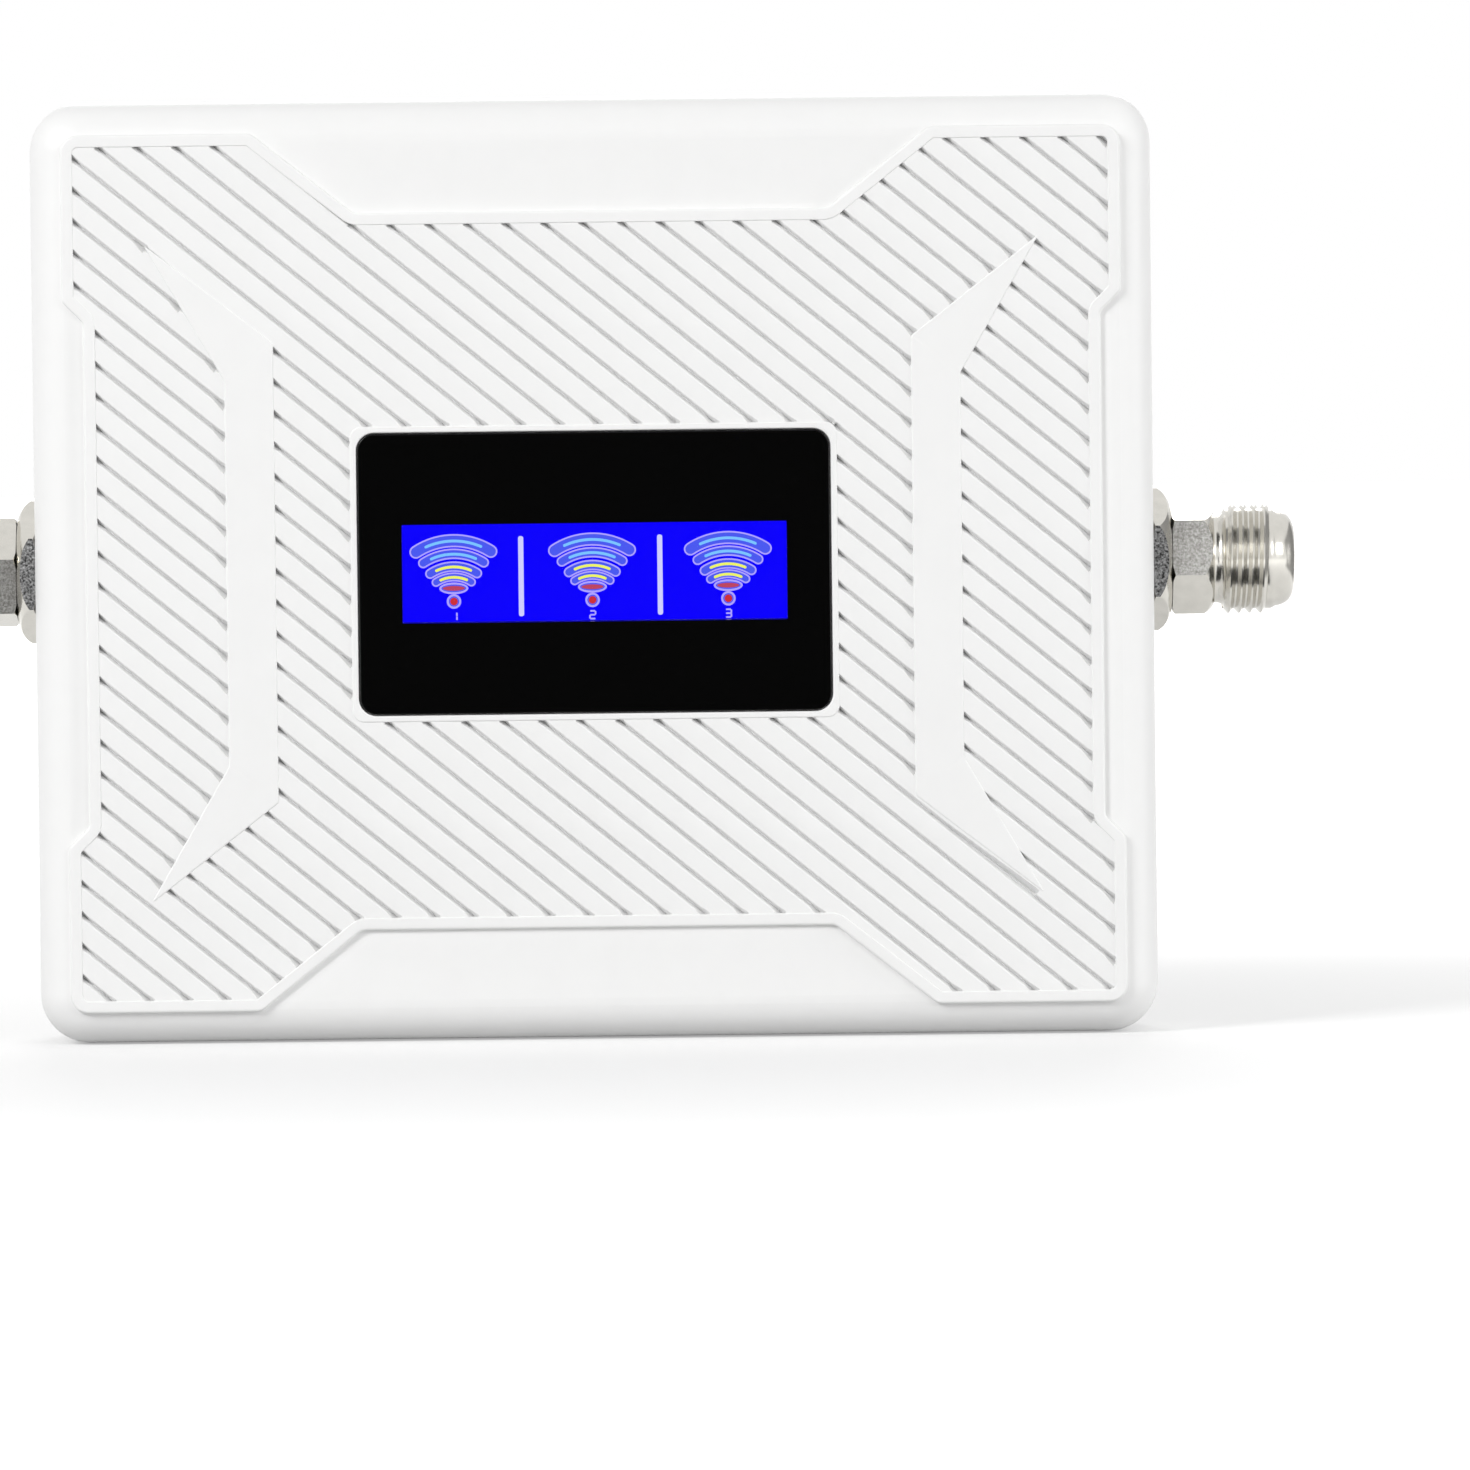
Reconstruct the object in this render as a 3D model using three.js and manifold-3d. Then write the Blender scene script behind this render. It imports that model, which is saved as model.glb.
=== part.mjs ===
// Cellular signal booster: a wall-hung white box with a louvred front, a dark display window and a
// threaded coaxial port on each side. Millimetres, +Z up, the front faces -Y, and the origin is the
// centre of the back face, which lies on the wall.
import * as THREE from "three";
import { mergeVertices } from "three/addons/utils/BufferGeometryUtils.js";
import Module from "manifold-3d";

// Housing, seen from the front
const housingWidth = 162;
const housingHeight = 136;
const housingCornerRadius = 7.2;
const frontRoll = 6;
const shellWall = 2.5;

// Raised front panel: its rim, its four notches and the sunken field inside it
const panelInset = 4.6;
const panelRise = 0.9;
const rimWidth = 1.75;
const endNotchDepth = 11.6;
const endNotchFloorWidth = 68.4;
const endNotchMouthWidth = 97.8;
const sideNotchDepth = 3;
const sideNotchLength = 72.8;
const fieldRecess = 0.15;

// Louvres: sawtooth grooves that run down to the right
const louvreFall = 39.3; // degrees
const louvrePitch = 3.52;
const louvreGrooveDepth = 0.62;
const louvreRampWidth = 1.15;
const louvreWallLean = 0.12;
const louvreStart = 2.95;

// Smooth bow-shaped arms between the display and the corners of the panel
const armWindowGap = 11.75;
const armWaist = 7.1;
const armInnerRise = 12.75;
const armOuterRise = 7.35;
const armTipSideInset = 11.8;
const armTipEndInset = 15.8;
const armTipRadius = 0.5;

// Display window and its pane
const windowWidth = 68.5;
const windowHeight = 40.9;
const windowDrop = 0.4;
const windowCornerRadius = 2.6;
const windowFrameWidth = 0.9;
const paneThickness = 1.5;
const paneSink = 0.25;
const paneGap = 0.2;
const paneLedge = 2;

// Display module and the small board that carries it
const lcdViewSideMargin = 6.45;
const lcdViewHeight = 14.2;
const lcdGlassMargin = 2.4;
const lcdGlassThickness = 2;
const backlightThickness = 2.2;
const bezelWall = 0.6;
const bezelGap = 0.3;
const lcdCeilingGap = 0.3;
const lcdBoardMargin = 7.75;
const lcdBoardHeight = 38;
const lcdBossRadius = 2.8;
const lcdBossInset = 3.6;

// Circuit boards
const boardThickness = 1.6;
const mainBoardPortGap = 1;
const mainBoardWallGap = 5.5;
const mainBoardPocketGap = 1.9;
const mainBoardNotch = 11;
const boardCornerRadius = 1.5;

// Back plate, set into a rebate of the shell
const backPlateThickness = 2.5;
const backPlateLip = 1.3;
const backPlateGap = 0.25;
const liningRibHeight = 2;
const liningRibWidth = 1.4;
const liningRibGap = 0.3;
const liningRibEndInset = 39;
const liningRibShortLength = 26;
const liningRibShortInset = 32;

// Keyholes in the back plate, for two wall screws
const keyholeSideInset = 31;
const keyholeTopInset = 22;
const keyholeEntryRadius = 4.5;
const keyholeSlotRadius = 2.2;
const keyholeTravel = 8;
const keyholePocketDepth = 4.2;
const keyholePocketMargin = 1.2;
const keyholePocketWall = 1.3;

// Vent slots in the back plate
const ventSlotWidth = 2;
const ventSlotLength = 15;
const ventSlotPitch = 5;
const ventSlotCount = 11;
const ventEndInset = 21;

// Screws
const caseScrewRadius = 1.45;
const caseScrewLength = 13;
const caseScrewHeadRadius = 2.9;
const caseScrewHeadHeight = 1.6;
const caseScrewHeadSink = 0.3;
const boardScrewRadius = 1.25;
const boardScrewLength = 7.2;
const boardScrewHeadRadius = 2.5;
const boardScrewHeadHeight = 1.7;
const lcdScrewLength = 4.8;
const screwTipLength = 1.2;
const screwGap = 0.3;

// Corner bosses of the shell, which take the case screws
const cornerBossRadius = 4;
const cornerBossInset = 7.8;
const cornerBossLength = 16;
const bossWebThickness = 1.6;

// Aluminium heat spreader, its standing posts and its soft pads
const spreaderSideMargin = 5.5;
const spreaderPocketGap = 3;
const spreaderThickness = 3;
const spreaderCornerRadius = 4;
const thermalPadThickness = 1;
const thermalPadInset = 2;
const thermalPadHeight = 20;
const postRadius = 4;
const postInset = 7;

// Amplifier bands: a shield can with its chip, and two ceramic filters below it
const bandSideMargin = 10;
const bandGap = 10;
const shieldLength = 25;
const shieldScrewGap = 0.5;
const shieldWall = 0.5;
const shieldCornerRadius = 1;
const shieldRise = 17;
const shieldHoleRadius = 1;
const shieldHoleInset = 5;
const shieldHoleColumns = 4;
const shieldHoleRows = 3;
const amplifierChipSide = 8;
const amplifierChipTall = 1.1;
const filterInset = 1;
const filterGap = 4;
const filterLength = 6.5;
const filterTall = 4.4;
const filterDrop = 9;
const filterHoleRadius = 0.7;
const filterHolePitchShare = 0.29;
const filterHoleCount = 3;

// Other parts of the main board
const chipSide = 14;
const chipTall = 1.4;
const chipDrop = 32;
const inductorSide = 12;
const inductorTall = 6;
const inductorReach = 26;
const inductorPitch = 15;
const capacitorRadius = 4;
const capacitorTall = 8.5;
const capacitorReach = 14;
const capacitorInset = 10;
const capacitorPitch = 10;
const headerLength = 20;
const headerThickness = 2.5;
const headerInset = 2.6;
const partEdge = 0.4;

// Power jack in the bottom wall
const jackInset = 22.5;
const jackWidth = 9;
const jackLength = 14;
const jackTall = 10.6;
const jackNoseRadius = 4.1;
const jackBoreRadius = 2.9;
const jackBoreDepth = 9.5;
const jackPinRadius = 1.05;
const jackPinSink = 1.2;
const jackAxisTall = 5.6;
const jackGap = 0.3;

// Coaxial ports: sizes along the axis are counted from the side face of the housing
const portNutAcross = 17.9;
const portNutRollGap = 0.45;
const portNutThickness = 2.9;
const portNutChamfer = 0.9;
const portNutTurn = 30; // degrees
const portHexAcross = 14.2;
const portHexLength = 6.1;
const portHexTurn = 15; // degrees
const portHexChamfer = 0.5;
const portNeckLength = 2;
const portNeckRadius = 6.5;
const portThreadLength = 6.7;
const portThreadRadius = 8;
const portThreadChamfer = 0.6;
const portNoseLength = 3;
const portNoseRadius = 6.6;
const portMouthRadius = 4.1;
const portMouthDepth = 9;
const portMouthLip = 0.3;
const portInnerRadius = 3.5;
const portShankRadius = 6;
const portShankFlat = 0.9;
const portTailLength = 10;
const portWasherThickness = 0.8;
const portWasherRadius = 8.6;
const portGap = 0.3;

// Centre contact and insulator of a port
const contactSocketRadius = 1.5;
const contactSocketBore = 0.85;
const contactSocketDepth = 4;
const contactTipSink = 4.6;
const contactWaistRadius = 1.2;
const contactPinRadius = 0.8;
const contactPinLength = 5;
const contactSolderGap = 0.3;

// How finely round forms are cut into facets, and how far cutters pass through
const cornerSteps = 6;
const rollSteps = 6;
const fineFacets = 24;
const plainFacets = 16;
const smallFacets = 10;
const tinyFacets = 6;
const noseSteps = 5;
const slotSteps = 2;
const overrun = 2;
const weldDistance = 1e-4;

// Places that follow from the sizes above. Depths are counted from the wall towards the viewer.
const halfWidth = housingWidth / 2;
const halfHeight = housingHeight / 2;
const keyholePocketFloor = backPlateThickness + keyholePocketDepth;
const keyholePocketReach = keyholeEntryRadius + keyholePocketMargin + keyholePocketWall;
const keyholeReach = halfWidth - keyholeSideInset;
const keyholeHeight = halfHeight - keyholeTopInset;
const mainBoardBack = keyholePocketFloor + keyholePocketWall + mainBoardPocketGap;
const mainBoardFront = mainBoardBack + boardThickness;
const portAxisDepth = mainBoardFront + contactSolderGap + contactPinRadius;
const portReach =
  portNutThickness + portHexLength + portNeckLength + portThreadLength + portNoseLength;
const housingDepth = portAxisDepth + portNutAcross / 2 + portNutRollGap + frontRoll;
const panelFront = housingDepth + panelRise;
const shellCeiling = housingDepth - shellWall;
const paneFront = panelFront - paneSink;
const paneBack = paneFront - paneThickness;
const lcdViewWidth = windowWidth - 2 * lcdViewSideMargin;
const lcdGlassFront = shellCeiling - lcdCeilingGap - bezelWall - bezelGap;
const lcdGlassBack = lcdGlassFront - lcdGlassThickness;
const lcdBoardFront = lcdGlassBack - backlightThickness;
const lcdBoardBack = lcdBoardFront - boardThickness;
const lcdBoardWidth = windowWidth + 2 * lcdBoardMargin;
const mainBoardWidth = 2 * (halfWidth - shellWall - portTailLength - mainBoardPortGap);
const mainBoardHeight = 2 * (halfHeight - shellWall - mainBoardWallGap);
const spreaderFront = mainBoardBack - thermalPadThickness;
const spreaderBack = spreaderFront - spreaderThickness;
const spreaderWidth = mainBoardWidth - 2 * spreaderSideMargin;
const spreaderHeight = 2 * (keyholeHeight - keyholePocketReach - spreaderPocketGap);
const shieldWidth = (spreaderWidth - 2 * bandSideMargin - 2 * bandGap) / 3;
const shieldTop = lcdBoardBack - boardScrewHeadHeight - shieldScrewGap;
const filterWidth = (shieldWidth - 2 * filterInset - filterGap) / 2;
const jackReach = mainBoardWidth / 2 - jackInset;

const wasm = await Module();
wasm.setup();

// A closed three.js geometry as a solid: shared vertices are merged and collapsed faces dropped
function solidOf(geometry) {
  const bare = geometry.clone();
  bare.deleteAttribute("normal");
  bare.deleteAttribute("uv");
  const merged = mergeVertices(bare, weldDistance);
  const corners = merged.index.array;
  const kept = [];
  for (let i = 0; i < corners.length; i += 3) {
    const [a, b, c] = corners.slice(i, i + 3);
    if (a !== b && b !== c && c !== a) kept.push(a, b, c);
  }
  const vertProperties = merged.attributes.position.array;
  const triVerts = new Uint32Array(kept);
  return new wasm.Manifold(new wasm.Mesh({ numProp: 3, vertProperties, triVerts }));
}

function geometryOf(solid) {
  const { vertProperties, triVerts } = solid.getMesh();
  const geometry = new THREE.BufferGeometry();
  geometry.setAttribute("position", new THREE.BufferAttribute(vertProperties, 3));
  geometry.setIndex(new THREE.BufferAttribute(triVerts, 1));
  geometry.computeVertexNormals();
  return geometry;
}

const join = (geometries) => geometries.map(solidOf).reduce((a, b) => a.add(b));

function cut(body, cutters) {
  return geometryOf(cutters.map(solidOf).reduce((left, cutter) => left.subtract(cutter), body));
}

// Outlines are lists of corners [x, y, radius], anticlockwise
const mirrorX = ([x, y, radius]) => [-x, y, radius];
const mirrorY = ([x, y, radius]) => [x, -y, radius];

function fourfold(quarter) {
  const upper = [...quarter, ...quarter.map(mirrorX).reverse()];
  return [...upper, ...upper.map(mirrorY).reverse()];
}

const rectangle = (width, height, radius = 0) => fourfold([[width / 2, height / 2, radius]]);
const shifted = (corners, x, y) => corners.map(([cx, cy, radius]) => [cx + x, cy + y, radius]);

// Moves every side of an outline inwards by the same distance
function insetCorners(corners, distance) {
  const last = corners.length - 1;
  return corners.map(([x, y, radius], i) => {
    const [px, py] = corners[i === 0 ? last : i - 1];
    const [nx, ny] = corners[i === last ? 0 : i + 1];
    const before = new THREE.Vector2(x - px, y - py).normalize();
    const after = new THREE.Vector2(nx - x, ny - y).normalize();
    const turn = before.cross(after);
    const along = (1 - before.dot(after)) / turn;
    const moved = new THREE.Vector2(x, y)
      .addScaledVector(new THREE.Vector2(-before.y, before.x), distance)
      .addScaledVector(before, -along * distance);
    return [moved.x, moved.y, radius && Math.max(radius - Math.sign(turn) * distance, 0)];
  });
}

// The points of an outline, with each corner that has a radius drawn as an arc
function outlinePoints(corners, steps = cornerSteps) {
  const last = corners.length - 1;
  return corners.flatMap(([x, y, radius], i) => {
    const corner = new THREE.Vector2(x, y);
    if (!radius) return [corner];
    const [px, py] = corners[i === 0 ? last : i - 1];
    const [nx, ny] = corners[i === last ? 0 : i + 1];
    const before = new THREE.Vector2(x - px, y - py).normalize();
    const after = new THREE.Vector2(nx - x, ny - y).normalize();
    const side = Math.sign(before.cross(after));
    const angle = Math.acos(THREE.MathUtils.clamp(before.dot(after), -1, 1));
    const start = corner.clone().addScaledVector(before, -radius * Math.tan(angle / 2));
    const out = new THREE.Vector2(before.y, -before.x).multiplyScalar(side * radius);
    const centre = start.clone().sub(out);
    const origin = new THREE.Vector2();
    return Array.from({ length: steps + 1 }, (_, k) =>
      out.clone().rotateAround(origin, (side * angle * k) / steps).add(centre),
    );
  });
}

const shapeOf = (corners, steps) => new THREE.Shape(outlinePoints(corners, steps));

// A straight slab between two depths, with holes if any are given
function slab(corners, back, front, holes = [], steps = cornerSteps) {
  const shape = shapeOf(corners, steps);
  shape.holes = holes.map((hole) => new THREE.Path(outlinePoints(hole, steps).reverse()));
  const geometry = new THREE.ExtrudeGeometry(shape, { depth: front - back, bevelEnabled: false });
  return geometry.translate(0, 0, back);
}

// A slab whose front edge has a small chamfer
function chamferedSlab(corners, back, front, chamfer, steps = cornerSteps) {
  const full = outlinePoints(corners, steps);
  const small = outlinePoints(insetCorners(corners, chamfer), steps);
  const rings = [
    [full, back],
    [full, front - chamfer],
    [small, front],
  ];
  return loft(rings);
}

// A solid through a stack of outlines that have the same number of points, each at its own depth
function loft(rings) {
  const count = rings[0][0].length;
  const position = rings.flatMap(([points, depth]) => points.flatMap(({ x, y }) => [x, y, depth]));
  const index = [];
  for (let ring = 0; ring < rings.length - 1; ring++) {
    for (let i = 0; i < count; i++) {
      const a = ring * count + i;
      const b = ring * count + ((i + 1) % count);
      index.push(a, b, b + count, a, b + count, a + count);
    }
  }
  const [backPoints] = rings[0];
  const [frontPoints] = rings[rings.length - 1];
  const frontFirst = (rings.length - 1) * count;
  for (const [a, b, c] of THREE.ShapeUtils.triangulateShape(backPoints, [])) index.push(a, c, b);
  for (const [a, b, c] of THREE.ShapeUtils.triangulateShape(frontPoints, [])) {
    index.push(frontFirst + a, frontFirst + b, frontFirst + c);
  }
  const geometry = new THREE.BufferGeometry();
  geometry.setAttribute("position", new THREE.Float32BufferAttribute(position, 3));
  geometry.setIndex(index);
  return geometry;
}

// A box with rounded corners whose front edge rolls over in a quarter circle
function rolledBlock(inset, back, front) {
  const roll = frontRoll - inset;
  const corners = rectangle(housingWidth, housingHeight, housingCornerRadius);
  const rings = [[outlinePoints(insetCorners(corners, inset)), back]];
  for (let k = 0; k <= rollSteps; k++) {
    const angle = (k / rollSteps) * (Math.PI / 2);
    const drawn = insetCorners(corners, inset + roll * (1 - Math.cos(angle)));
    rings.push([outlinePoints(drawn), front - roll + roll * Math.sin(angle)]);
  }
  return loft(rings);
}

// Turned forms: [radius, height] pairs, from the lowest up the outside, with the axis along +Z
function turned(profile, facets) {
  const points = profile.map(([radius, height]) => new THREE.Vector2(radius, height));
  return new THREE.LatheGeometry(points, facets).rotateX(Math.PI / 2);
}

const rod = (radius, back, front, facets = plainFacets) =>
  turned([[0, back], [radius, back], [radius, front], [0, front]], facets);

function ring(inner, outer, back, front, facets = plainFacets) {
  const profile = [[inner, back], [outer, back], [outer, front], [inner, front], [inner, back]];
  return turned(profile, facets);
}

const hexagon = (across, turn = 0) =>
  Array.from({ length: 6 }, (_, k) => {
    const angle = THREE.MathUtils.degToRad(turn + k * 60);
    const reach = across / Math.sqrt(3);
    return [reach * Math.cos(angle), reach * Math.sin(angle), 0];
  });

// Materials
const material = (color, roughness, metalness = 0) =>
  new THREE.MeshStandardMaterial({ color, roughness, metalness });
const whiteShell = material("#f6f6f5", 0.5);
const blackPane = material("#050505", 0.08);
const blueGlass = material("#0d0aff", 0.15);
const backlightWhite = material("#e8ecff", 0.4);
const blackSteel = material("#1c1c1e", 0.4, 0.6);
const boardGreen = material("#12522c", 0.45);
const screwSteel = material("#a8a9ab", 0.35, 1);
const spreaderAluminium = material("#b9bbbe", 0.4, 1);
const canSteel = material("#c6c6c2", 0.3, 1);
const padBlue = material("#7d93b8", 0.85);
const ceramicBeige = material("#c9b58d", 0.55);
const chipBlack = material("#18181a", 0.55);
const inductorGrey = material("#3a3b3d", 0.6);
const capacitorAluminium = material("#b4b6bb", 0.3, 1);
const jackBlack = material("#141415", 0.45);
const portNickel = material("#c4c0b8", 0.22, 1);
const contactGold = material("#d9a94a", 0.25, 1);
const insulatorWhite = material("#efeee8", 0.6);

function piece(name, geometry, finish) {
  const mesh = new THREE.Mesh(geometry, finish);
  mesh.name = name;
  return mesh;
}

// Front shell
const panelCorners = insetPanel();
const fieldCorners = insetCorners(panelCorners, rimWidth);
const windowCorners = shifted(
  rectangle(windowWidth, windowHeight, windowCornerRadius), 0, -windowDrop,
);
const frameCorners = insetCorners(windowCorners, -windowFrameWidth);

function insetPanel() {
  const reach = halfWidth - panelInset;
  const rise = halfHeight - panelInset;
  return fourfold([
    [reach - sideNotchDepth, sideNotchLength / 2, 0],
    [reach, sideNotchLength / 2 + sideNotchDepth, 0],
    [reach, rise, housingCornerRadius - panelInset],
    [endNotchMouthWidth / 2, rise, 0],
    [endNotchFloorWidth / 2, rise - endNotchDepth, 0],
  ]);
}

function armCorners() {
  const inner = windowWidth / 2 + armWindowGap;
  const tipReach = halfWidth - panelInset - armTipSideInset;
  const tipHeight = halfHeight - panelInset - armTipEndInset;
  const right = [
    [inner + armWaist, windowHeight / 2 + armOuterRise, 0],
    [tipReach, tipHeight, armTipRadius],
    [inner, windowHeight / 2 + armInnerRise, 0],
  ];
  return [...right, ...right.map(mirrorY).reverse()];
}

// The rake has one sawtooth for each groove and a flat for each slat between them
function louvreRake() {
  const reach = Math.hypot(halfWidth, halfHeight);
  const copies = Math.ceil(reach / louvrePitch);
  const land = panelFront - fieldRecess;
  const teeth = new THREE.Shape();
  teeth.moveTo(-reach - louvrePitch, panelFront + overrun);
  teeth.lineTo(-reach - louvrePitch, land);
  for (let k = -copies; k < copies; k++) {
    const wall = louvreStart + k * louvrePitch;
    teeth.lineTo(wall - louvreRampWidth, land);
    teeth.lineTo(wall - louvreWallLean, land - louvreGrooveDepth);
    teeth.lineTo(wall, land);
  }
  teeth.lineTo(reach + louvrePitch, land);
  teeth.lineTo(reach + louvrePitch, panelFront + overrun);
  const rake = new THREE.ExtrudeGeometry(teeth, { depth: 2 * reach, bevelEnabled: false });
  rake.translate(0, 0, -reach).rotateX(Math.PI / 2);
  return rake.rotateZ(THREE.MathUtils.degToRad(90 - louvreFall));
}

// Everything that the moulding tool sinks into the front panel inside its rim
function sunkenField() {
  const right = armCorners();
  const left = right.map(mirrorX).reverse();
  const floor = panelFront - fieldRecess - louvreGrooveDepth - panelRise;
  const sheet = (corners) => solidOf(slab(corners, floor, panelFront + overrun));
  const smooth = [frameCorners, right, left].map(sheet).reduce((a, b) => a.add(b));
  return sheet(fieldCorners).subtract(smooth).intersect(solidOf(louvreRake()));
}

const cornerBossPlaces = fourfold([
  [halfWidth - cornerBossInset, halfHeight - cornerBossInset],
]);
const lcdBossPlaces = shifted(
  rectangle(lcdBoardWidth - 2 * lcdBossInset, lcdBoardHeight - 2 * lcdBossInset), 0, -windowDrop,
);

// A corner boss stands on the ceiling of the shell and is tied to both walls by webs
function cornerBoss([x, y]) {
  const floor = backPlateThickness;
  const boss = rod(cornerBossRadius, floor, shellCeiling + shellWall / 2).translate(x, y, 0);
  const across = Math.sign(x) * (halfWidth - shellWall / 2);
  const up = Math.sign(y) * (halfHeight - shellWall / 2);
  const webX = slab(rectangle(Math.abs(across - x), bossWebThickness), floor, shellCeiling);
  const webY = slab(rectangle(bossWebThickness, Math.abs(up - y)), floor, shellCeiling);
  return join([
    boss,
    webX.translate((across + x) / 2, y, 0),
    webY.translate(x, (up + y) / 2, 0),
  ]);
}

const cornerBossHole = ([x, y]) =>
  rod(caseScrewRadius + screwGap, -overrun, backPlateThickness + cornerBossLength, smallFacets)
    .translate(x, y, 0);

const lcdBoss = ([x, y]) =>
  rod(lcdBossRadius, lcdBoardFront, shellCeiling + shellWall / 2, smallFacets).translate(x, y, 0);

const lcdBossHole = ([x, y]) =>
  rod(boardScrewRadius + screwGap, lcdBoardFront - overrun, shellCeiling, smallFacets)
    .translate(x, y, 0);

// A round hole with a flat, which keeps the port from turning. It runs along X.
function portHole(radius, flat, from, to) {
  const round = rod(radius, from, to, fineFacets);
  const keep = slab(rectangle(2 * radius - flat, 2 * radius), from - overrun, to + overrun);
  const hole = solidOf(round).intersect(solidOf(keep.translate(-flat / 2, 0, 0)));
  return geometryOf(hole).rotateY(Math.PI / 2);
}

function frontCover() {
  const outside = rolledBlock(0, 0, housingDepth);
  const panel = slab(panelCorners, housingDepth - shellWall / 2, panelFront);
  const hollow = rolledBlock(shellWall, -overrun, shellCeiling);
  const rebate = slab(
    insetCorners(rectangle(housingWidth, housingHeight, housingCornerRadius), backPlateLip),
    -overrun, backPlateThickness,
  );
  const paneSeat = slab(windowCorners, paneBack, panelFront + overrun);
  const sight = slab(insetCorners(windowCorners, paneLedge), shellCeiling - overrun, panelFront);
  const portCut = portHole(
    portShankRadius + portGap, portShankFlat, halfWidth - shellWall - overrun, halfWidth + overrun,
  ).translate(0, 0, portAxisDepth);
  const jackCut = rod(jackNoseRadius + jackGap, -shellWall - overrun, overrun)
    .rotateX(Math.PI / 2)
    .translate(jackReach, -halfHeight, mainBoardFront + jackAxisTall);
  const skin = join([outside, panel]).subtract(solidOf(hollow));
  const bossed = cornerBossPlaces.map(cornerBoss).reduce((a, b) => a.add(b), skin);
  const full = lcdBossPlaces.map(lcdBoss).map(solidOf).reduce((a, b) => a.add(b), bossed);
  return cut(full.subtract(sunkenField()), [
    rebate,
    paneSeat,
    sight,
    portCut,
    portCut.clone().rotateZ(Math.PI),
    jackCut,
    ...cornerBossPlaces.map(cornerBossHole),
    ...lcdBossPlaces.map(lcdBossHole),
  ]);
}

// Back plate
const backPlateCorners = insetCorners(
  rectangle(housingWidth, housingHeight, housingCornerRadius), backPlateLip + backPlateGap,
);
const postPlaces = rectangle(spreaderWidth - 2 * postInset, spreaderHeight - 2 * postInset);
const keyholePlaces = [-keyholeReach, keyholeReach];

// A vertical slot with round ends, drawn as an outline about its own centre
const slot = (width, length) => rectangle(width, length, width / 2);

// The screw head goes in at the round entry, and the plate then drops onto the screw's neck
function keyhole(x) {
  const entry = rod(keyholeEntryRadius, -overrun, backPlateThickness + overrun);
  const neck = slab(
    slot(2 * keyholeSlotRadius, keyholeTravel + 2 * keyholeSlotRadius),
    -overrun, backPlateThickness + overrun,
  );
  const through = join([entry, neck.translate(0, keyholeTravel / 2, 0)]);
  return geometryOf(through).translate(x, keyholeHeight, 0);
}

function keyholePocket(x, margin, floor) {
  const radius = keyholeEntryRadius + keyholePocketMargin + margin;
  const room = slot(2 * radius, keyholeTravel + 2 * radius);
  return slab(room, backPlateThickness - (margin ? shellWall / 2 : 0), floor)
    .translate(x, keyholeHeight + keyholeTravel / 2, 0);
}

const caseScrewSeat = ([x, y]) => {
  const radius = caseScrewHeadRadius + screwGap;
  const shank = caseScrewRadius + screwGap;
  const depth = caseScrewHeadSink + caseScrewHeadHeight;
  const profile = [
    [0, -overrun],
    [radius, -overrun],
    [radius, caseScrewHeadSink],
    [shank, depth],
    [shank, backPlateThickness + overrun],
    [0, backPlateThickness + overrun],
  ];
  return turned(profile, smallFacets).translate(x, y, 0);
};

function ventSlots() {
  const outline = slot(ventSlotWidth, ventSlotLength);
  const slots = [];
  for (const side of [-1, 1]) {
    for (let k = 0; k < ventSlotCount; k++) {
      const x = (k - (ventSlotCount - 1) / 2) * ventSlotPitch;
      const opening = slab(outline, -overrun, backPlateThickness + overrun, [], slotSteps);
      slots.push(opening.translate(x, side * (halfHeight - ventEndInset), 0));
    }
  }
  return slots;
}

// Ribs on the plate that slip inside the shell's walls and keep the seam in line
function liningRibs() {
  const depth = backPlateThickness + liningRibHeight;
  const reach = halfWidth - shellWall - liningRibGap - liningRibWidth / 2;
  const rise = halfHeight - shellWall - liningRibGap - liningRibWidth / 2;
  const rib = (width, length, x, y) =>
    slab(rectangle(width, length), backPlateThickness / 2, depth).translate(x, y, 0);
  const long = housingWidth - 2 * liningRibEndInset;
  const shortPlace = halfHeight - liningRibShortInset;
  return [-1, 1].flatMap((side) => [
    rib(long, liningRibWidth, 0, side * rise),
    rib(liningRibWidth, liningRibShortLength, -reach, side * shortPlace),
    rib(liningRibWidth, liningRibShortLength, reach, side * shortPlace),
  ]);
}

const spreaderPost = ([x, y]) =>
  rod(postRadius, backPlateThickness / 2, spreaderBack).translate(x, y, 0);

const spreaderPostHole = ([x, y]) =>
  rod(boardScrewRadius + screwGap, backPlateThickness, spreaderBack + overrun, smallFacets)
    .translate(x, y, 0);

function rearCover() {
  const body = join([
    slab(backPlateCorners, 0, backPlateThickness),
    ...liningRibs(),
    ...postPlaces.map(spreaderPost),
    ...keyholePlaces.map((x) =>
      keyholePocket(x, keyholePocketWall, keyholePocketFloor + keyholePocketWall),
    ),
  ]);
  return cut(body, [
    ...keyholePlaces.map((x) => keyholePocket(x, 0, keyholePocketFloor)),
    ...keyholePlaces.map(keyhole),
    ...cornerBossPlaces.map(caseScrewSeat),
    ...postPlaces.map(spreaderPostHole),
    ...ventSlots(),
  ]);
}

// Screws point along -Z. A pan head stands on zero, and a countersunk head has its face at zero.
function panScrew(length) {
  const crown = boardScrewHeadHeight / 3;
  return turned(
    [
      [0, -length],
      [boardScrewRadius, screwTipLength - length],
      [boardScrewRadius, 0],
      [boardScrewHeadRadius, 0],
      [boardScrewHeadRadius, boardScrewHeadHeight - crown],
      [boardScrewHeadRadius - crown, boardScrewHeadHeight],
      [0, boardScrewHeadHeight],
    ],
    smallFacets,
  );
}

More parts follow.
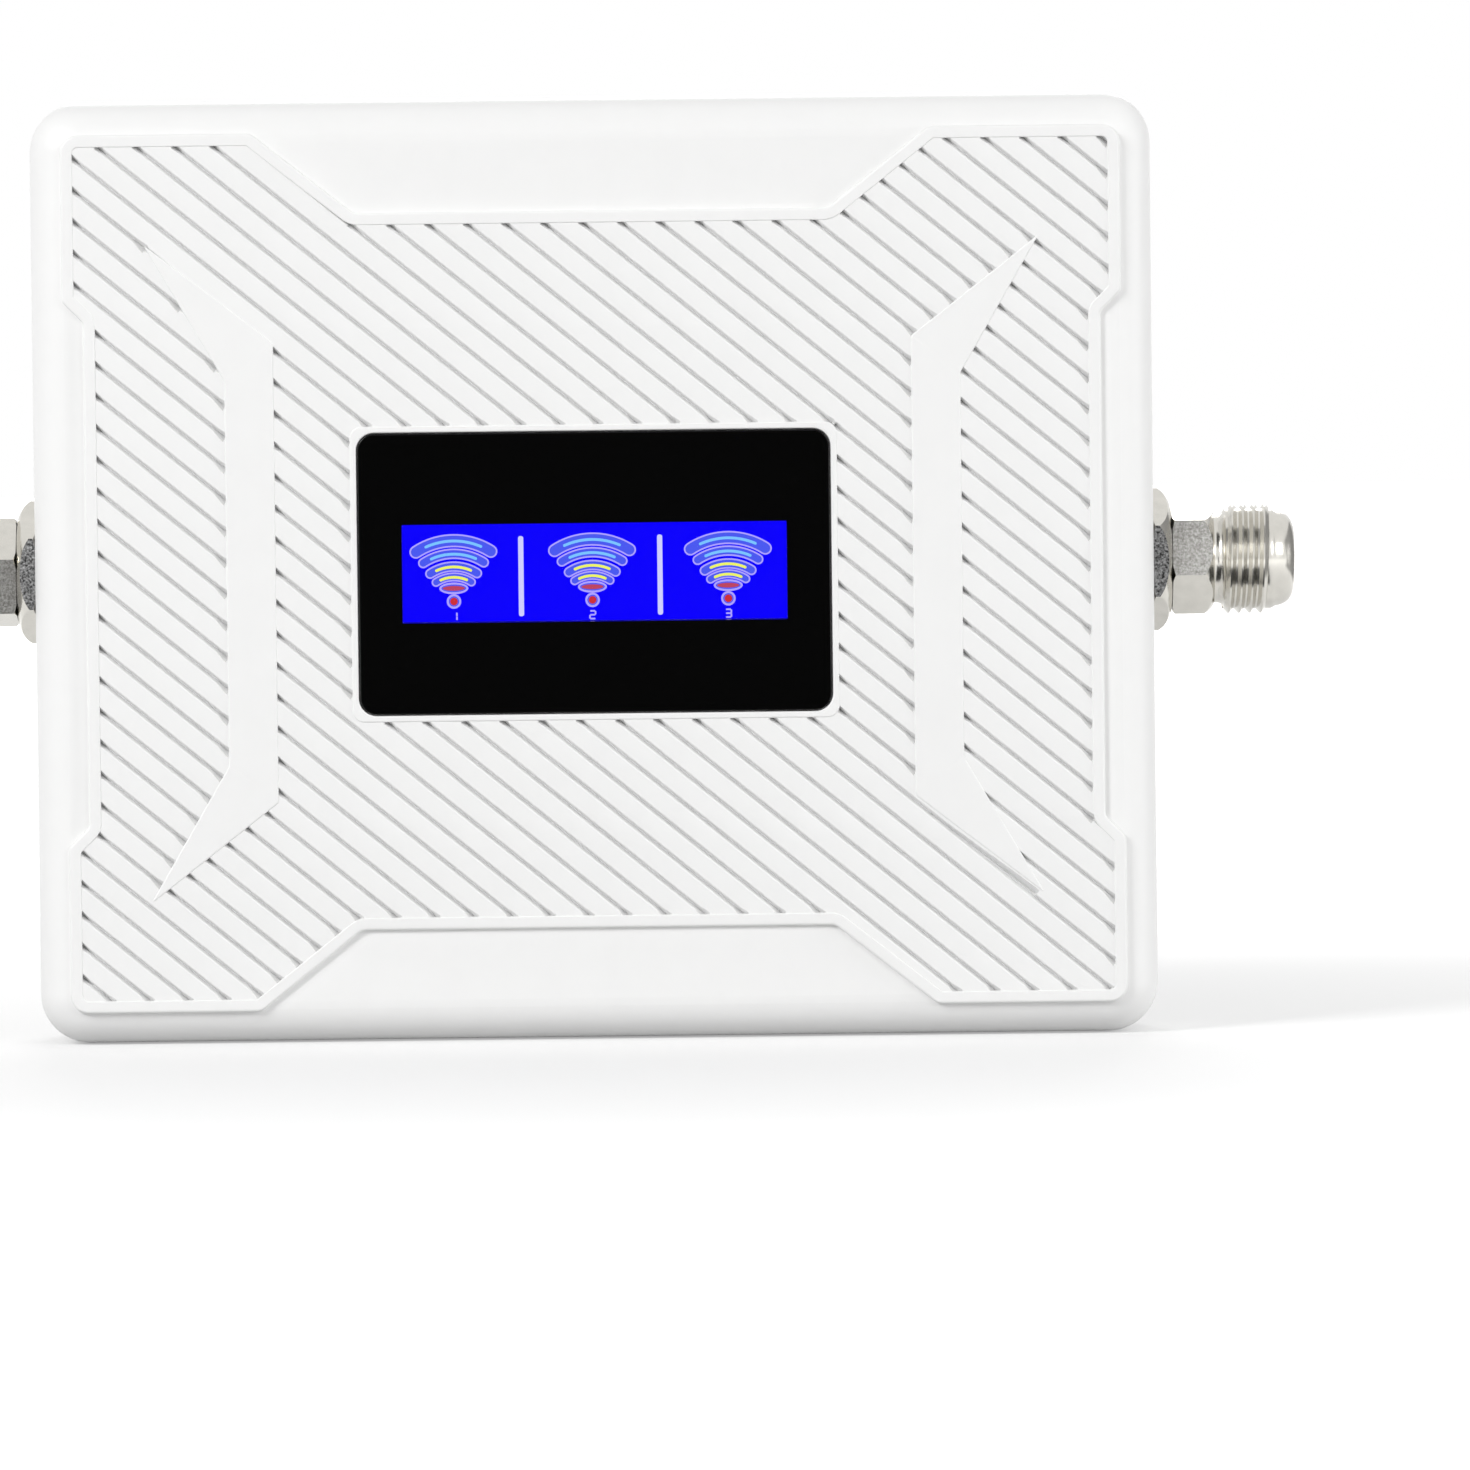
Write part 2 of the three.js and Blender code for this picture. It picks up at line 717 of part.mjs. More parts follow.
function countersunkScrew() {
  return turned(
    [
      [0, -caseScrewLength],
      [caseScrewRadius, screwTipLength - caseScrewLength],
      [caseScrewRadius, -caseScrewHeadHeight],
      [caseScrewHeadRadius, 0],
      [0, 0],
    ],
    smallFacets,
  );
}

function screws(name, places, depth, geometry, facingWall) {
  return places.map(([x, y], i) => {
    const screw = piece(`${name}_${i + 1}`, geometry, screwSteel);
    screw.position.set(x, y, depth);
    if (facingWall) screw.rotation.x = Math.PI;
    return screw;
  });
}

// Display: pane, glass cell, backlight, steel bezel, board and the header down to the main board
const lcdGlassWidth = lcdViewWidth + 2 * lcdGlassMargin;
const lcdGlassHeight = lcdViewHeight + 2 * lcdGlassMargin;

function displayWindow() {
  return chamferedSlab(insetCorners(windowCorners, paneGap), paneBack, paneFront, paneSink);
}

function lcdBezel() {
  const roomWidth = lcdGlassWidth + 2 * bezelGap;
  const roomHeight = lcdGlassHeight + 2 * bezelGap;
  const outside = rectangle(roomWidth + 2 * bezelWall, roomHeight + 2 * bezelWall, bezelWall);
  const top = lcdGlassFront + bezelGap + bezelWall;
  const box = slab(outside, lcdBoardFront, top, [], noseSteps);
  const room = slab(rectangle(roomWidth, roomHeight), lcdBoardFront - overrun, top - bezelWall);
  const view = slab(rectangle(lcdViewWidth, lcdViewHeight), lcdGlassFront, top + overrun);
  return cut(solidOf(box), [room, view]);
}

function displayHeader() {
  const drop = windowDrop + lcdBoardHeight / 2 - headerInset;
  return slab(rectangle(headerLength, headerThickness), mainBoardFront, lcdBoardBack)
    .translate(0, -drop, 0);
}

function display() {
  const group = new THREE.Group();
  const glass = rectangle(lcdGlassWidth, lcdGlassHeight);
  const board = solidOf(
    slab(rectangle(lcdBoardWidth, lcdBoardHeight, boardCornerRadius), lcdBoardBack, lcdBoardFront),
  );
  const holes = shifted(lcdBossPlaces, 0, windowDrop).map(([x, y]) =>
    rod(boardScrewRadius + screwGap, lcdBoardBack - overrun, lcdBoardFront + overrun, smallFacets)
      .translate(x, y, 0),
  );
  const module = new THREE.Group();
  module.position.y = -windowDrop;
  module.add(
    piece("lcd_bezel", lcdBezel(), blackSteel),
    piece("lcd_glass", chamferedSlab(glass, lcdGlassBack, lcdGlassFront, bezelGap), blueGlass),
    piece("lcd_backlight", slab(glass, lcdBoardFront, lcdGlassBack), backlightWhite),
    piece("lcd_board", cut(board, holes), boardGreen),
  );
  group.add(
    piece("display_window", displayWindow(), blackPane),
    module,
    piece("display_header", displayHeader(), jackBlack),
    ...screws("lcd_screw", lcdBossPlaces, lcdBoardBack, panScrew(lcdScrewLength), true),
  );
  return group;
}

// Main board, its heat spreader and the screws that hold both to the posts of the back plate
function mainBoard() {
  const reach = mainBoardWidth / 2;
  const rise = mainBoardHeight / 2;
  const corners = fourfold([
    [reach, rise - mainBoardNotch, boardCornerRadius],
    [reach - mainBoardNotch, rise - mainBoardNotch, 0],
    [reach - mainBoardNotch, rise, boardCornerRadius],
  ]);
  const board = solidOf(slab(corners, mainBoardBack, mainBoardFront, [], noseSteps));
  return cut(board, postPlaces.map(([x, y]) =>
    rod(boardScrewRadius + screwGap, mainBoardBack - overrun, mainBoardFront + overrun, smallFacets)
      .translate(x, y, 0),
  ));
}

// The spreader is a plate with a low pad round each screw, which the board rests on
function heatSpreader() {
  const plate = rectangle(spreaderWidth, spreaderHeight, spreaderCornerRadius);
  const pads = postPlaces.map(([x, y]) =>
    rod(postRadius, spreaderFront - spreaderThickness / 2, mainBoardBack).translate(x, y, 0),
  );
  const holes = postPlaces.map(([x, y]) =>
    rod(boardScrewRadius + screwGap, spreaderBack - overrun, mainBoardBack + overrun, smallFacets)
      .translate(x, y, 0),
  );
  return cut(join([slab(plate, spreaderBack, spreaderFront, [], noseSteps), ...pads]), holes);
}

// A block whose front edges have a small chamfer, standing on the main board
const blockOnBoard = (width, length, tall) =>
  chamferedSlab(rectangle(width, length), mainBoardFront, mainBoardFront + tall, partEdge);

// Amplifier bands, from left to right
function shieldCan() {
  const outside = rectangle(shieldWidth, shieldLength, shieldCornerRadius);
  const box = slab(outside, mainBoardFront, shieldTop, [], noseSteps);
  const lid = shieldTop - shieldWall;
  const room = slab(
    rectangle(shieldWidth - 2 * shieldWall, shieldLength - 2 * shieldWall),
    mainBoardFront - overrun, lid,
  );
  const pitch = (shieldWidth - 2 * shieldHoleInset) / (shieldHoleColumns - 1);
  const holes = [];
  for (let column = 0; column < shieldHoleColumns; column++) {
    for (let row = 0; row < shieldHoleRows; row++) {
      const x = (column - (shieldHoleColumns - 1) / 2) * pitch;
      const y = (row - (shieldHoleRows - 1) / 2) * pitch;
      const hole = rod(shieldHoleRadius, lid - overrun, shieldTop + overrun, tinyFacets);
      holes.push(hole.translate(x, y, 0));
    }
  }
  return cut(solidOf(box), [room, ...holes]);
}

// A ceramic filter block with a row of resonator bores along it
function ceramicFilter() {
  const bores = [];
  for (let k = 0; k < filterHoleCount; k++) {
    const x = (k - (filterHoleCount - 1) / 2) * filterWidth * filterHolePitchShare;
    const bore = rod(filterHoleRadius, -filterLength, filterLength, tinyFacets);
    bores.push(bore.rotateX(Math.PI / 2).translate(x, 0, mainBoardFront + filterTall / 2));
  }
  return cut(solidOf(blockOnBoard(filterWidth, filterLength, filterTall)), bores);
}

function amplifierBands() {
  const can = shieldCan();
  const chip = blockOnBoard(amplifierChipSide, amplifierChipSide, amplifierChipTall);
  const filter = ceramicFilter();
  const padWidth = shieldWidth - 2 * thermalPadInset;
  const pad = slab(rectangle(padWidth, thermalPadHeight), spreaderFront, mainBoardBack);
  return [-1, 0, 1].map((place, i) => {
    const band = new THREE.Group();
    band.position.x = place * (shieldWidth + bandGap);
    const upper = new THREE.Group();
    upper.position.y = shieldRise;
    upper.add(
      piece(`shield_can_${i + 1}`, can, canSteel),
      piece(`amplifier_chip_${i + 1}`, chip, chipBlack),
      piece(`thermal_pad_${i + 1}`, pad, padBlue),
    );
    band.add(upper);
    for (const side of [0, 1]) {
      const block = piece(`ceramic_filter_${2 * i + side + 1}`, filter, ceramicBeige);
      block.position.set((side - 1 / 2) * (filterWidth + filterGap), -filterDrop, 0);
      band.add(block);
    }
    return band;
  });
}

// Power and control parts of the main board
function capacitor() {
  const groove = capacitorRadius / 8;
  const profile = [
    [0, 0],
    [capacitorRadius, 0],
    [capacitorRadius, 2 * groove],
    [capacitorRadius - groove, 3 * groove],
    [capacitorRadius, 4 * groove],
    [capacitorRadius, capacitorTall - groove],
    [capacitorRadius - groove, capacitorTall],
    [0, capacitorTall],
  ];
  return turned(profile, smallFacets).translate(0, 0, mainBoardFront);
}

function boardParts() {
  const chip = blockOnBoard(chipSide, chipSide, chipTall);
  const control = piece("controller_chip", chip, chipBlack);
  control.position.y = -chipDrop;
  const parts = [control];
  const coil = blockOnBoard(inductorSide, inductorSide, inductorTall);
  for (const k of [0, 1]) {
    const inductor = piece(`power_inductor_${k + 1}`, coil, inductorGrey);
    inductor.position.set(inductorReach + k * inductorPitch, -chipDrop, 0);
    parts.push(inductor);
  }
  const can = capacitor();
  const storeDrop = mainBoardHeight / 2 - capacitorInset;
  for (const k of [0, 1, 2]) {
    const store = piece(`capacitor_${k + 1}`, can, capacitorAluminium);
    store.position.set(-capacitorReach - k * capacitorPitch, -storeDrop, 0);
    parts.push(store);
  }
  return parts;
}

// The power jack lies on the board with its round nose in the bottom wall. Its mouth is at zero.
function jackBody() {
  const back = shellWall + jackGap;
  const axis = mainBoardFront + jackAxisTall;
  const block = slab(rectangle(jackWidth, jackTall), back, back + jackLength)
    .rotateX(-Math.PI / 2)
    .translate(0, 0, mainBoardFront + jackTall / 2);
  const nose = rod(jackNoseRadius, 0, back + jackGap).rotateX(-Math.PI / 2).translate(0, 0, axis);
  const bore = rod(jackBoreRadius, -overrun, jackBoreDepth)
    .rotateX(-Math.PI / 2)
    .translate(0, 0, axis);
  return cut(join([block, nose]), [bore]);
}

function powerJack() {
  const jack = new THREE.Group();
  jack.position.set(jackReach, -halfHeight, 0);
  const pin = turned(
    [
      [0, jackPinSink],
      [jackPinRadius / 2, jackPinSink],
      [jackPinRadius, jackPinSink + jackPinRadius / 2],
      [jackPinRadius, jackBoreDepth],
      [0, jackBoreDepth],
    ],
    smallFacets,
  ).rotateX(-Math.PI / 2);
  jack.add(
    piece("dc_jack_body", jackBody(), jackBlack),
    piece("dc_jack_pin", pin.translate(0, 0, mainBoardFront + jackAxisTall), screwSteel),
  );
  return jack;
}

// Coaxial port, drawn along +Z from the housing's side face
function hexNut(bore, chamferedFaces) {
  const full = hexagon(portNutAcross, portNutTurn);
  const small = hexagon(portNutAcross - 2 * portNutChamfer, portNutTurn);
  const edge = portNutChamfer / 2;
  const rings = [
    [chamferedFaces > 1 ? small : full, 0],
    [full, edge],
    [full, portNutThickness - edge],
    [small, portNutThickness],
  ];
  const body = loft(rings.map(([corners, depth]) => [outlinePoints(corners), depth]));
  return cut(solidOf(body), [rod(bore, -overrun, portNutThickness + overrun, fineFacets)]);
}

function portShell() {
  const hexStart = portNutThickness;
  const neckStart = hexStart + portHexLength;
  const threadStart = neckStart + portNeckLength;
  const noseStart = threadStart + portThreadLength;
  const tail = -shellWall - portTailLength;
  const nose = Array.from({ length: noseSteps + 1 }, (_, k) => {
    const angle = (k / noseSteps) * (Math.PI / 2);
    const shoulder = portMouthRadius + portMouthLip - portNoseRadius;
    return [
      portNoseRadius + shoulder * (1 - Math.cos(angle)),
      noseStart + portNoseLength / 3 + ((2 * portNoseLength) / 3) * Math.sin(angle),
    ];
  });
  const round = turned(
    [
      [0, tail],
      [portShankRadius, tail],
      [portShankRadius, hexStart + portHexChamfer],
      [portNeckRadius, hexStart + portHexChamfer],
      [portNeckRadius, threadStart],
      [portThreadRadius - portThreadChamfer, threadStart],
      [portThreadRadius, threadStart + portThreadChamfer],
      [portThreadRadius, noseStart - portThreadChamfer],
      [portThreadRadius - portThreadChamfer, noseStart],
      [portNoseRadius, noseStart],
      ...nose,
      [0, portReach],
    ],
    fineFacets,
  );
  const wrench = [
    [hexagon(portHexAcross - 2 * portHexChamfer, portHexTurn), hexStart],
    [hexagon(portHexAcross, portHexTurn), hexStart + portHexChamfer],
    [hexagon(portHexAcross, portHexTurn), neckStart - portHexChamfer],
    [hexagon(portHexAcross - 2 * portHexChamfer, portHexTurn), neckStart],
  ];
  const hex = loft(wrench.map(([corners, depth]) => [outlinePoints(corners), depth]));
  const flat = slab(rectangle(portShankRadius, 2 * portShankRadius), tail - overrun, hexStart)
    .translate((3 * portShankRadius) / 2 - portShankFlat, 0, 0);
  return cut(join([round, hex]), [
    rod(portMouthRadius, portReach - portMouthDepth, portReach + overrun, fineFacets),
    rod(portInnerRadius, tail - overrun, portReach, fineFacets),
    flat,
  ]);
}

function portContact() {
  const tip = portReach - contactTipSink;
  const waist = portReach - portMouthDepth;
  const tail = -shellWall - portTailLength;
  return turned(
    [
      [0, tail - contactPinLength],
      [contactPinRadius, tail - contactPinLength],
      [contactPinRadius, tail],
      [contactWaistRadius, tail],
      [contactWaistRadius, waist],
      [contactSocketRadius, waist],
      [contactSocketRadius, tip],
      [contactSocketBore, tip],
      [contactSocketBore, tip - contactSocketDepth],
      [0, tip - contactSocketDepth],
    ],
    smallFacets,
  );
}

function port(side) {
  const group = new THREE.Group();
  const washerBack = -shellWall;
  const nutBack = washerBack - portWasherThickness;
  const tail = -shellWall - portTailLength;
  const shoulder = portReach - portMouthDepth;
  const bore = portShankRadius + portGap;
  const washer = ring(bore, portWasherRadius, nutBack, washerBack, fineFacets);
  const insulator = ring(
    contactWaistRadius + portGap, portInnerRadius - portGap, tail, shoulder - portGap,
    smallFacets,
  );
  const outerNut = hexNut(bore, 1);
  const innerNut = hexNut(bore, 2);
  const inner = piece(`${side}_port_inner_nut`, innerNut, portNickel);
  inner.position.z = nutBack - portNutThickness;
  group.add(
    piece(`${side}_port_shell`, portShell(), portNickel),
    piece(`${side}_port_contact`, portContact(), contactGold),
    piece(`${side}_port_insulator`, insulator, insulatorWhite),
    piece(`${side}_port_nut`, outerNut, portNickel),
    piece(`${side}_port_washer`, washer, screwSteel),
    inner,
  );
  group.rotation.y = Math.PI / 2;
  group.position.set(halfWidth, 0, portAxisDepth);
  const turnedGroup = new THREE.Group();
  turnedGroup.add(group);
  if (side === "left") turnedGroup.rotation.z = Math.PI;
  return turnedGroup;
}

// Assembly: everything is drawn facing the viewer, then stood up with its back to the wall
const booster = new THREE.Group();
booster.rotation.x = Math.PI / 2;
booster.add(
  piece("front_cover", frontCover(), whiteShell),
  piece("rear_cover", rearCover(), whiteShell),
  ...screws("case_screw", cornerBossPlaces, caseScrewHeadSink, countersunkScrew(), true),
  display(),
  piece("heat_spreader", heatSpreader(), spreaderAluminium),
  piece("main_board", mainBoard(), boardGreen),
  ...screws("board_screw", postPlaces, mainBoardFront, panScrew(boardScrewLength), false),
  ...amplifierBands(),
  ...boardParts(),
  powerJack(),
  port("left"),
  port("right"),
);

export default new THREE.Group().add(booster);
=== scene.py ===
import math

import bmesh
import bpy
from mathutils import Matrix, Vector
from mathutils.geometry import tessellate_polygon


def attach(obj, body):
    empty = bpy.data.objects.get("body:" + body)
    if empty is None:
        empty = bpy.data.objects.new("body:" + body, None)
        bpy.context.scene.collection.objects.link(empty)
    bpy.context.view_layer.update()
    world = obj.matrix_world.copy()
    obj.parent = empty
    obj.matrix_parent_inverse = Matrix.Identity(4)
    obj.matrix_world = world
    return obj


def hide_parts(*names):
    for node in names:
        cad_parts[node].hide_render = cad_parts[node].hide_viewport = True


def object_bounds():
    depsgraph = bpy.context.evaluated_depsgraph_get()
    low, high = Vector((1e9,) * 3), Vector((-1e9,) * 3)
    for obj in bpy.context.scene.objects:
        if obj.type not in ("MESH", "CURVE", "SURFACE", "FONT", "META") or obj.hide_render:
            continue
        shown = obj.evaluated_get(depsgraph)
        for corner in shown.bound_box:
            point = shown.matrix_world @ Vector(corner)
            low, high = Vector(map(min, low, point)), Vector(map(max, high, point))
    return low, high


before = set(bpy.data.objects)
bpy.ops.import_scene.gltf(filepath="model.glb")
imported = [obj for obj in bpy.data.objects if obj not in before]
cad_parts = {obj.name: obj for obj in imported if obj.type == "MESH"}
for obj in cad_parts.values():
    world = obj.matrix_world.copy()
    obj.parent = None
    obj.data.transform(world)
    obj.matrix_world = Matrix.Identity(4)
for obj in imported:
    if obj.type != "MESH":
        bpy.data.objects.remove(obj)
cad_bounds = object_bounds()

# Camera. A long lens two metres in front of the box, a little above it and turned slightly, so the
# box lies in the upper left of the picture and the left port runs out of it.
def placed(name, data):
    """A new object in the scene."""
    made = bpy.data.objects.new(name, data)
    bpy.context.scene.collection.objects.link(made)
    return made


def shift(x=0.0, y=0.0, z=0.0):
    return Matrix.Translation((x, y, z))


def spin(angle, axis="Z"):
    return Matrix.Rotation(angle, 4, axis)


lens = bpy.data.cameras.new("camera")
lens.sensor_width = 36
lens.lens = 334.6
camera = placed("camera", lens)
camera.matrix_world = (
    shift(0.00448, -2, 0.06296) @ spin(-0.00787) @ spin(-0.04417, "X") @ spin(0.01141, "Y")
    @ spin(math.pi / 2, "X")
)
bpy.context.scene.camera = camera

# Studio. A pale floor under the box, two large soft lamps in front, one at the right, one behind.
# Rays that carry the background see white, and metal and glass also see a few dark screens.
bpy.context.scene.view_settings.view_transform = "Standard"


def wire(links, *wires):
    """Links sockets of nodes, each wire as from node, output, to node, input."""
    for source, output, target, socket in wires:
        links.new(source.outputs[output], target.inputs[socket])


def preset(node, **values):
    """Sets values on a node's inputs. An underscore stands for a space in an input's name."""
    for socket, value in values.items():
        node.inputs[socket.replace("_", " ")].default_value = value


def worked(tree, operation, *values):
    """A maths node on sockets or plain numbers."""
    made = tree.nodes.new("ShaderNodeMath")
    made.operation = operation
    for socket, value in zip(made.inputs, values):
        if isinstance(value, (int, float)):
            socket.default_value = value
        else:
            tree.links.new(value, socket)
    return made.outputs[0]


def principled(name, **values):
    """A new material, its tree and its shader, with these values set on the shader."""
    made = bpy.data.materials.new(name)
    made.use_nodes = True
    shader = made.node_tree.nodes["Principled BSDF"]
    preset(shader, **values)
    return made, made.node_tree, shader


def background_ray(tree):
    """One where the camera, glass or polished metal looks at the background, zero for its light."""
    rays = tree.nodes.new("ShaderNodeLightPath").outputs
    seen = worked(tree, "MAXIMUM", rays["Is Camera Ray"], rays["Is Glossy Ray"])
    return worked(tree, "MAXIMUM", seen, rays["Is Transmission Ray"])


surround = bpy.data.worlds.new("surround")
surround.use_nodes = True
bpy.context.scene.world = surround
nodes, links = surround.node_tree.nodes, surround.node_tree.links
nodes.clear()
choice, shown = nodes.new("ShaderNodeMixShader"), nodes.new("ShaderNodeOutputWorld")
links.new(background_ray(surround.node_tree), choice.inputs["Fac"])
for socket, strength in ((1, 0.42), (2, 1)):
    light = nodes.new("ShaderNodeBackground")
    preset(light, Color=(1, 1, 1, 1), Strength=strength)
    links.new(light.outputs[0], choice.inputs[socket])
links.new(choice.outputs[0], shown.inputs["Surface"])

for name, place, watts in (
    ("left_lamp", (-1.62, -1.7, 1.31), 42),
    ("right_lamp", (1.4, -1.96, 0.95), 12.5),
    ("side_lamp", (2.2, -0.42, 0.1), 23),
    ("back_lamp", (0.1, 2.3, 0.95), 17),
):
    lamp = bpy.data.lights.new(name, "AREA")
    lamp.size = 0.9
    lamp.energy = watts
    holder = placed(name, lamp)
    holder.location = place
    holder.rotation_euler = (-Vector(place)).to_track_quat("-Z", "Y").to_euler()


def sheet(name, first, second, third, grey):
    """A flat four-cornered part of the studio, given by three corners, with its own paint."""
    fourth = [a - b + c for a, b, c in zip(first, second, third)]
    mesh = bpy.data.meshes.new(name)
    mesh.from_pydata([first, second, third, fourth], [], [(0, 1, 2, 3)])
    made = placed(name, mesh)
    paint, tree, shader = principled(
        name, Base_Color=(grey, grey, grey, 1), Roughness=0.9, Specular_IOR_Level=0.1
    )
    mesh.materials.append(paint)
    return made, tree, shader


ground = cad_bounds[0][2] - 0.0002
tree, shader = sheet("floor", (-3, -3, ground), (3, -3, ground), (3, 3, ground), 0.6)[1:]
# Its own white grows with the distance from the box, so the shadow stays and the far edge goes
place, far = tree.nodes.new("ShaderNodeTexCoord"), tree.nodes.new("ShaderNodeVectorMath")
far.operation = "LENGTH"
fade = tree.nodes.new("ShaderNodeMapRange")
preset(fade, From_Min=0.1, From_Max=0.6, To_Min=0.38, To_Max=1)
wire(tree.links, (place, "Object", far, 0), (far, "Value", fade, "Value"))
glow = worked(tree, "MULTIPLY", fade.outputs["Result"], background_ray(tree))
tree.links.new(glow, shader.inputs["Emission Strength"])
preset(shader, Emission_Color=(1, 1, 1, 1))

low, black, grey = ground + 0.001, 0.03, 0.4
for name, *corners, shade in (
    ("screen_above", (-0.115, -0.26, 0.16), (0.115, -0.26, 0.16), (0.115, -0.1, 0.29), black),
    ("screen_below", (-0.112, -0.05, -0.06), (0.112, -0.05, -0.06), (0.112, -0.2, -0.06), black),
    ("screen_front", (-0.05, -0.4, low), (0.05, -0.4, low), (0.05, -0.4, 0.03), black),
    ("screen_right", (0.3, -0.12, low), (0.3, 0.3, low), (0.3, 0.3, 0.15), grey),
):
    screen = sheet(name, *corners, shade)[0]
    for ray in ("camera", "volume_scatter", "shadow"):
        setattr(screen, "visible_" + ray, False)
    # The one above also takes a little light from the top edge of the box
    screen.visible_diffuse = name == "screen_above"

# Back plate. A flat moulding of the same white plastic as the front, with two keyholes for the wall
# screws, two rows of vents, a raised pocket behind each keyhole and four posts for the board. It
# sits in a rebate of the front cover, and four countersunk screws hold it.
ROUND = math.pi / 2
# All drawings are in millimetres and face the viewer: x right, y up, z out from the wall
UPRIGHT = spin(ROUND, "X") @ Matrix.Scale(0.001, 4)


def rectangle(width, height, radius=0.0, x=0.0, y=0.0):
    w, h = width / 2, height / 2
    return [(x + sx * w, y + sy * h, radius) for sx, sy in ((1, -1), (1, 1), (-1, 1), (-1, -1))]


def polar(radius, angle, x=0.0, y=0.0):
    return Vector((x + radius * math.cos(angle), y + radius * math.sin(angle)))


def inset(corners, distance):
    """Moves each side of an outline of (x, y, radius) corners to its left by the distance."""
    moved = []
    for i, (x, y, radius) in enumerate(corners):
        here = Vector((x, y))
        before = (here - Vector(corners[i - 1][:2])).normalized()
        after = (Vector(corners[(i + 1) % len(corners)][:2]) - here).normalized()
        turn = before.cross(after)
        along = (1 - before.dot(after)) / turn
        spot = here + distance * Vector((-before.y, before.x)) - along * distance * before
        grown = radius - math.copysign(distance, turn)
        moved.append((spot.x, spot.y, max(grown, 0.002) if radius else 0))
    return moved


def outline(corners, steps=10):
    """A loop for solid(): it gives the points of the outline at any inset."""

    def points(distance):
        moved, found = inset(corners, distance), []
        for i, (x, y, radius) in enumerate(moved):
            here = Vector((x, y))
            if not radius:
                found.append(here)
                continue
            before = (here - Vector(moved[i - 1][:2])).normalized()
            after = (Vector(moved[(i + 1) % len(moved)][:2]) - here).normalized()
            side = math.copysign(1, before.cross(after))
            angle = math.acos(max(-1, min(1, before.dot(after))))
            out = Vector((before.y, -before.x)) * side * radius
            centre = here - before * radius * math.tan(angle / 2) - out
            for k in range(steps + 1):
                found.append(centre + Matrix.Rotation(side * angle * k / steps, 2) @ out)
        return found

    return points


def circle(radius, x=0.0, y=0.0, facets=48, hole=True):
    """A round loop. A hole is walked clockwise and grows with the inset."""
    way = -1 if hole else 1

    def points(distance):
        turns = (way * 2 * math.pi * k / facets for k in range(facets))
        return [polar(radius - way * distance, a, x, y) for a in turns]

    return points


def straight(back, front):
    return [(0, back), (0, front)]


def rounded(back, front, back_edge=0.0, front_edge=0.0, steps=4):
    """Insets and depths of a wall whose back and front edges are rounded."""
    wall = []
    for k in range(steps + 1) if back_edge else (0,):
        a = k / steps * ROUND
        wall.append((back_edge * (1 - math.sin(a)), back + back_edge * (1 - math.cos(a))))
    for k in range(steps + 1) if front_edge else (0,):
        a = k / steps * ROUND
        wall.append((front_edge * (1 - math.cos(a)), front - front_edge * (1 - math.sin(a))))
    return wall


def closed_mesh(bm):
    """Turns the faces of a bmesh outwards and gives its mesh."""
    bmesh.ops.recalc_face_normals(bm, faces=bm.faces)
    mesh = bpy.data.meshes.new("closed")
    bm.to_mesh(mesh)
    bm.free()
    return mesh


def solid(*loops):
    """A closed mesh from loops and their walls: the first is the outside, the others are holes."""
    bm = bmesh.new()
    caps = ([], [])
    for points, wall in loops:
        rings = [[bm.verts.new((p.x, p.y, z)) for p in points(d)] for d, z in wall]
        caps[0].append(rings[0])
        caps[1].append(rings[-1])
        for low, high in zip(rings, rings[1:]):
            for i in range(len(low)):
                bm.faces.new((low[i - 1], low[i], high[i], high[i - 1]))
    for cap in caps:
        flat = [v for ring in cap for v in ring]
        for face in tessellate_polygon([[v.co for v in ring] for ring in cap]):
            bm.faces.new([flat[i] for i in face])
    bmesh.ops.remove_doubles(bm, verts=bm.verts, dist=1e-5)
    bmesh.ops.dissolve_degenerate(bm, edges=bm.edges, dist=1e-6)
    return closed_mesh(bm)


def rod(radius, back, front, x=0.0, y=0.0, facets=32):
    return solid((circle(radius, x, y, facets, hole=False), straight(back, front)))


def turned(profile, facets=48):
    """A closed turned mesh about Z from (radius, height) pairs, lowest first, up the outside."""
    bm = bmesh.new()
    rings = []
    for radius, height in profile:
        if radius == 0:
            rings.append([bm.verts.new((0, 0, height))])
            continue
        spots = [polar(radius, 2 * math.pi * k / facets) for k in range(facets)]
        rings.append([bm.verts.new((*spot, height)) for spot in spots])
    if profile[0][0] and profile[0] == profile[-1]:
        for v in rings.pop():
            bm.verts.remove(v)
        rings.append(rings[0])
    for low, high in zip(rings, rings[1:]):
        for i in range(facets):
            corners = [low[i - 1 if len(low) > 1 else 0], low[i if len(low) > 1 else 0]]
            corners += [high[i if len(high) > 1 else 0], high[i - 1 if len(high) > 1 else 0]]
            bm.faces.new(list(dict.fromkeys(corners)))
    return closed_mesh(bm)


def moved(mesh, *steps):
    for step in steps:
        mesh.transform(step)
    return mesh


def plain(carrier):
    """Takes an object out of the scene and gives the plain mesh that its modifier makes."""
    ready = carrier.evaluated_get(bpy.context.evaluated_depsgraph_get())
    mesh = bpy.data.meshes.new_from_object(ready)
    bpy.data.objects.remove(carrier)
    return mesh


def shaped(base, operation, *tools):
    """Joins the tools to a mesh or cuts them from it, and gives the new mesh."""
    for tool in tools:
        target, cutter = placed("target", base), placed("cutter", tool)
        step = target.modifiers.new("shape", "BOOLEAN")
        step.operation = operation
        step.solver = "MANIFOLD"
        step.object = cutter
        base = plain(target)
        bpy.data.objects.remove(cutter)
    return base


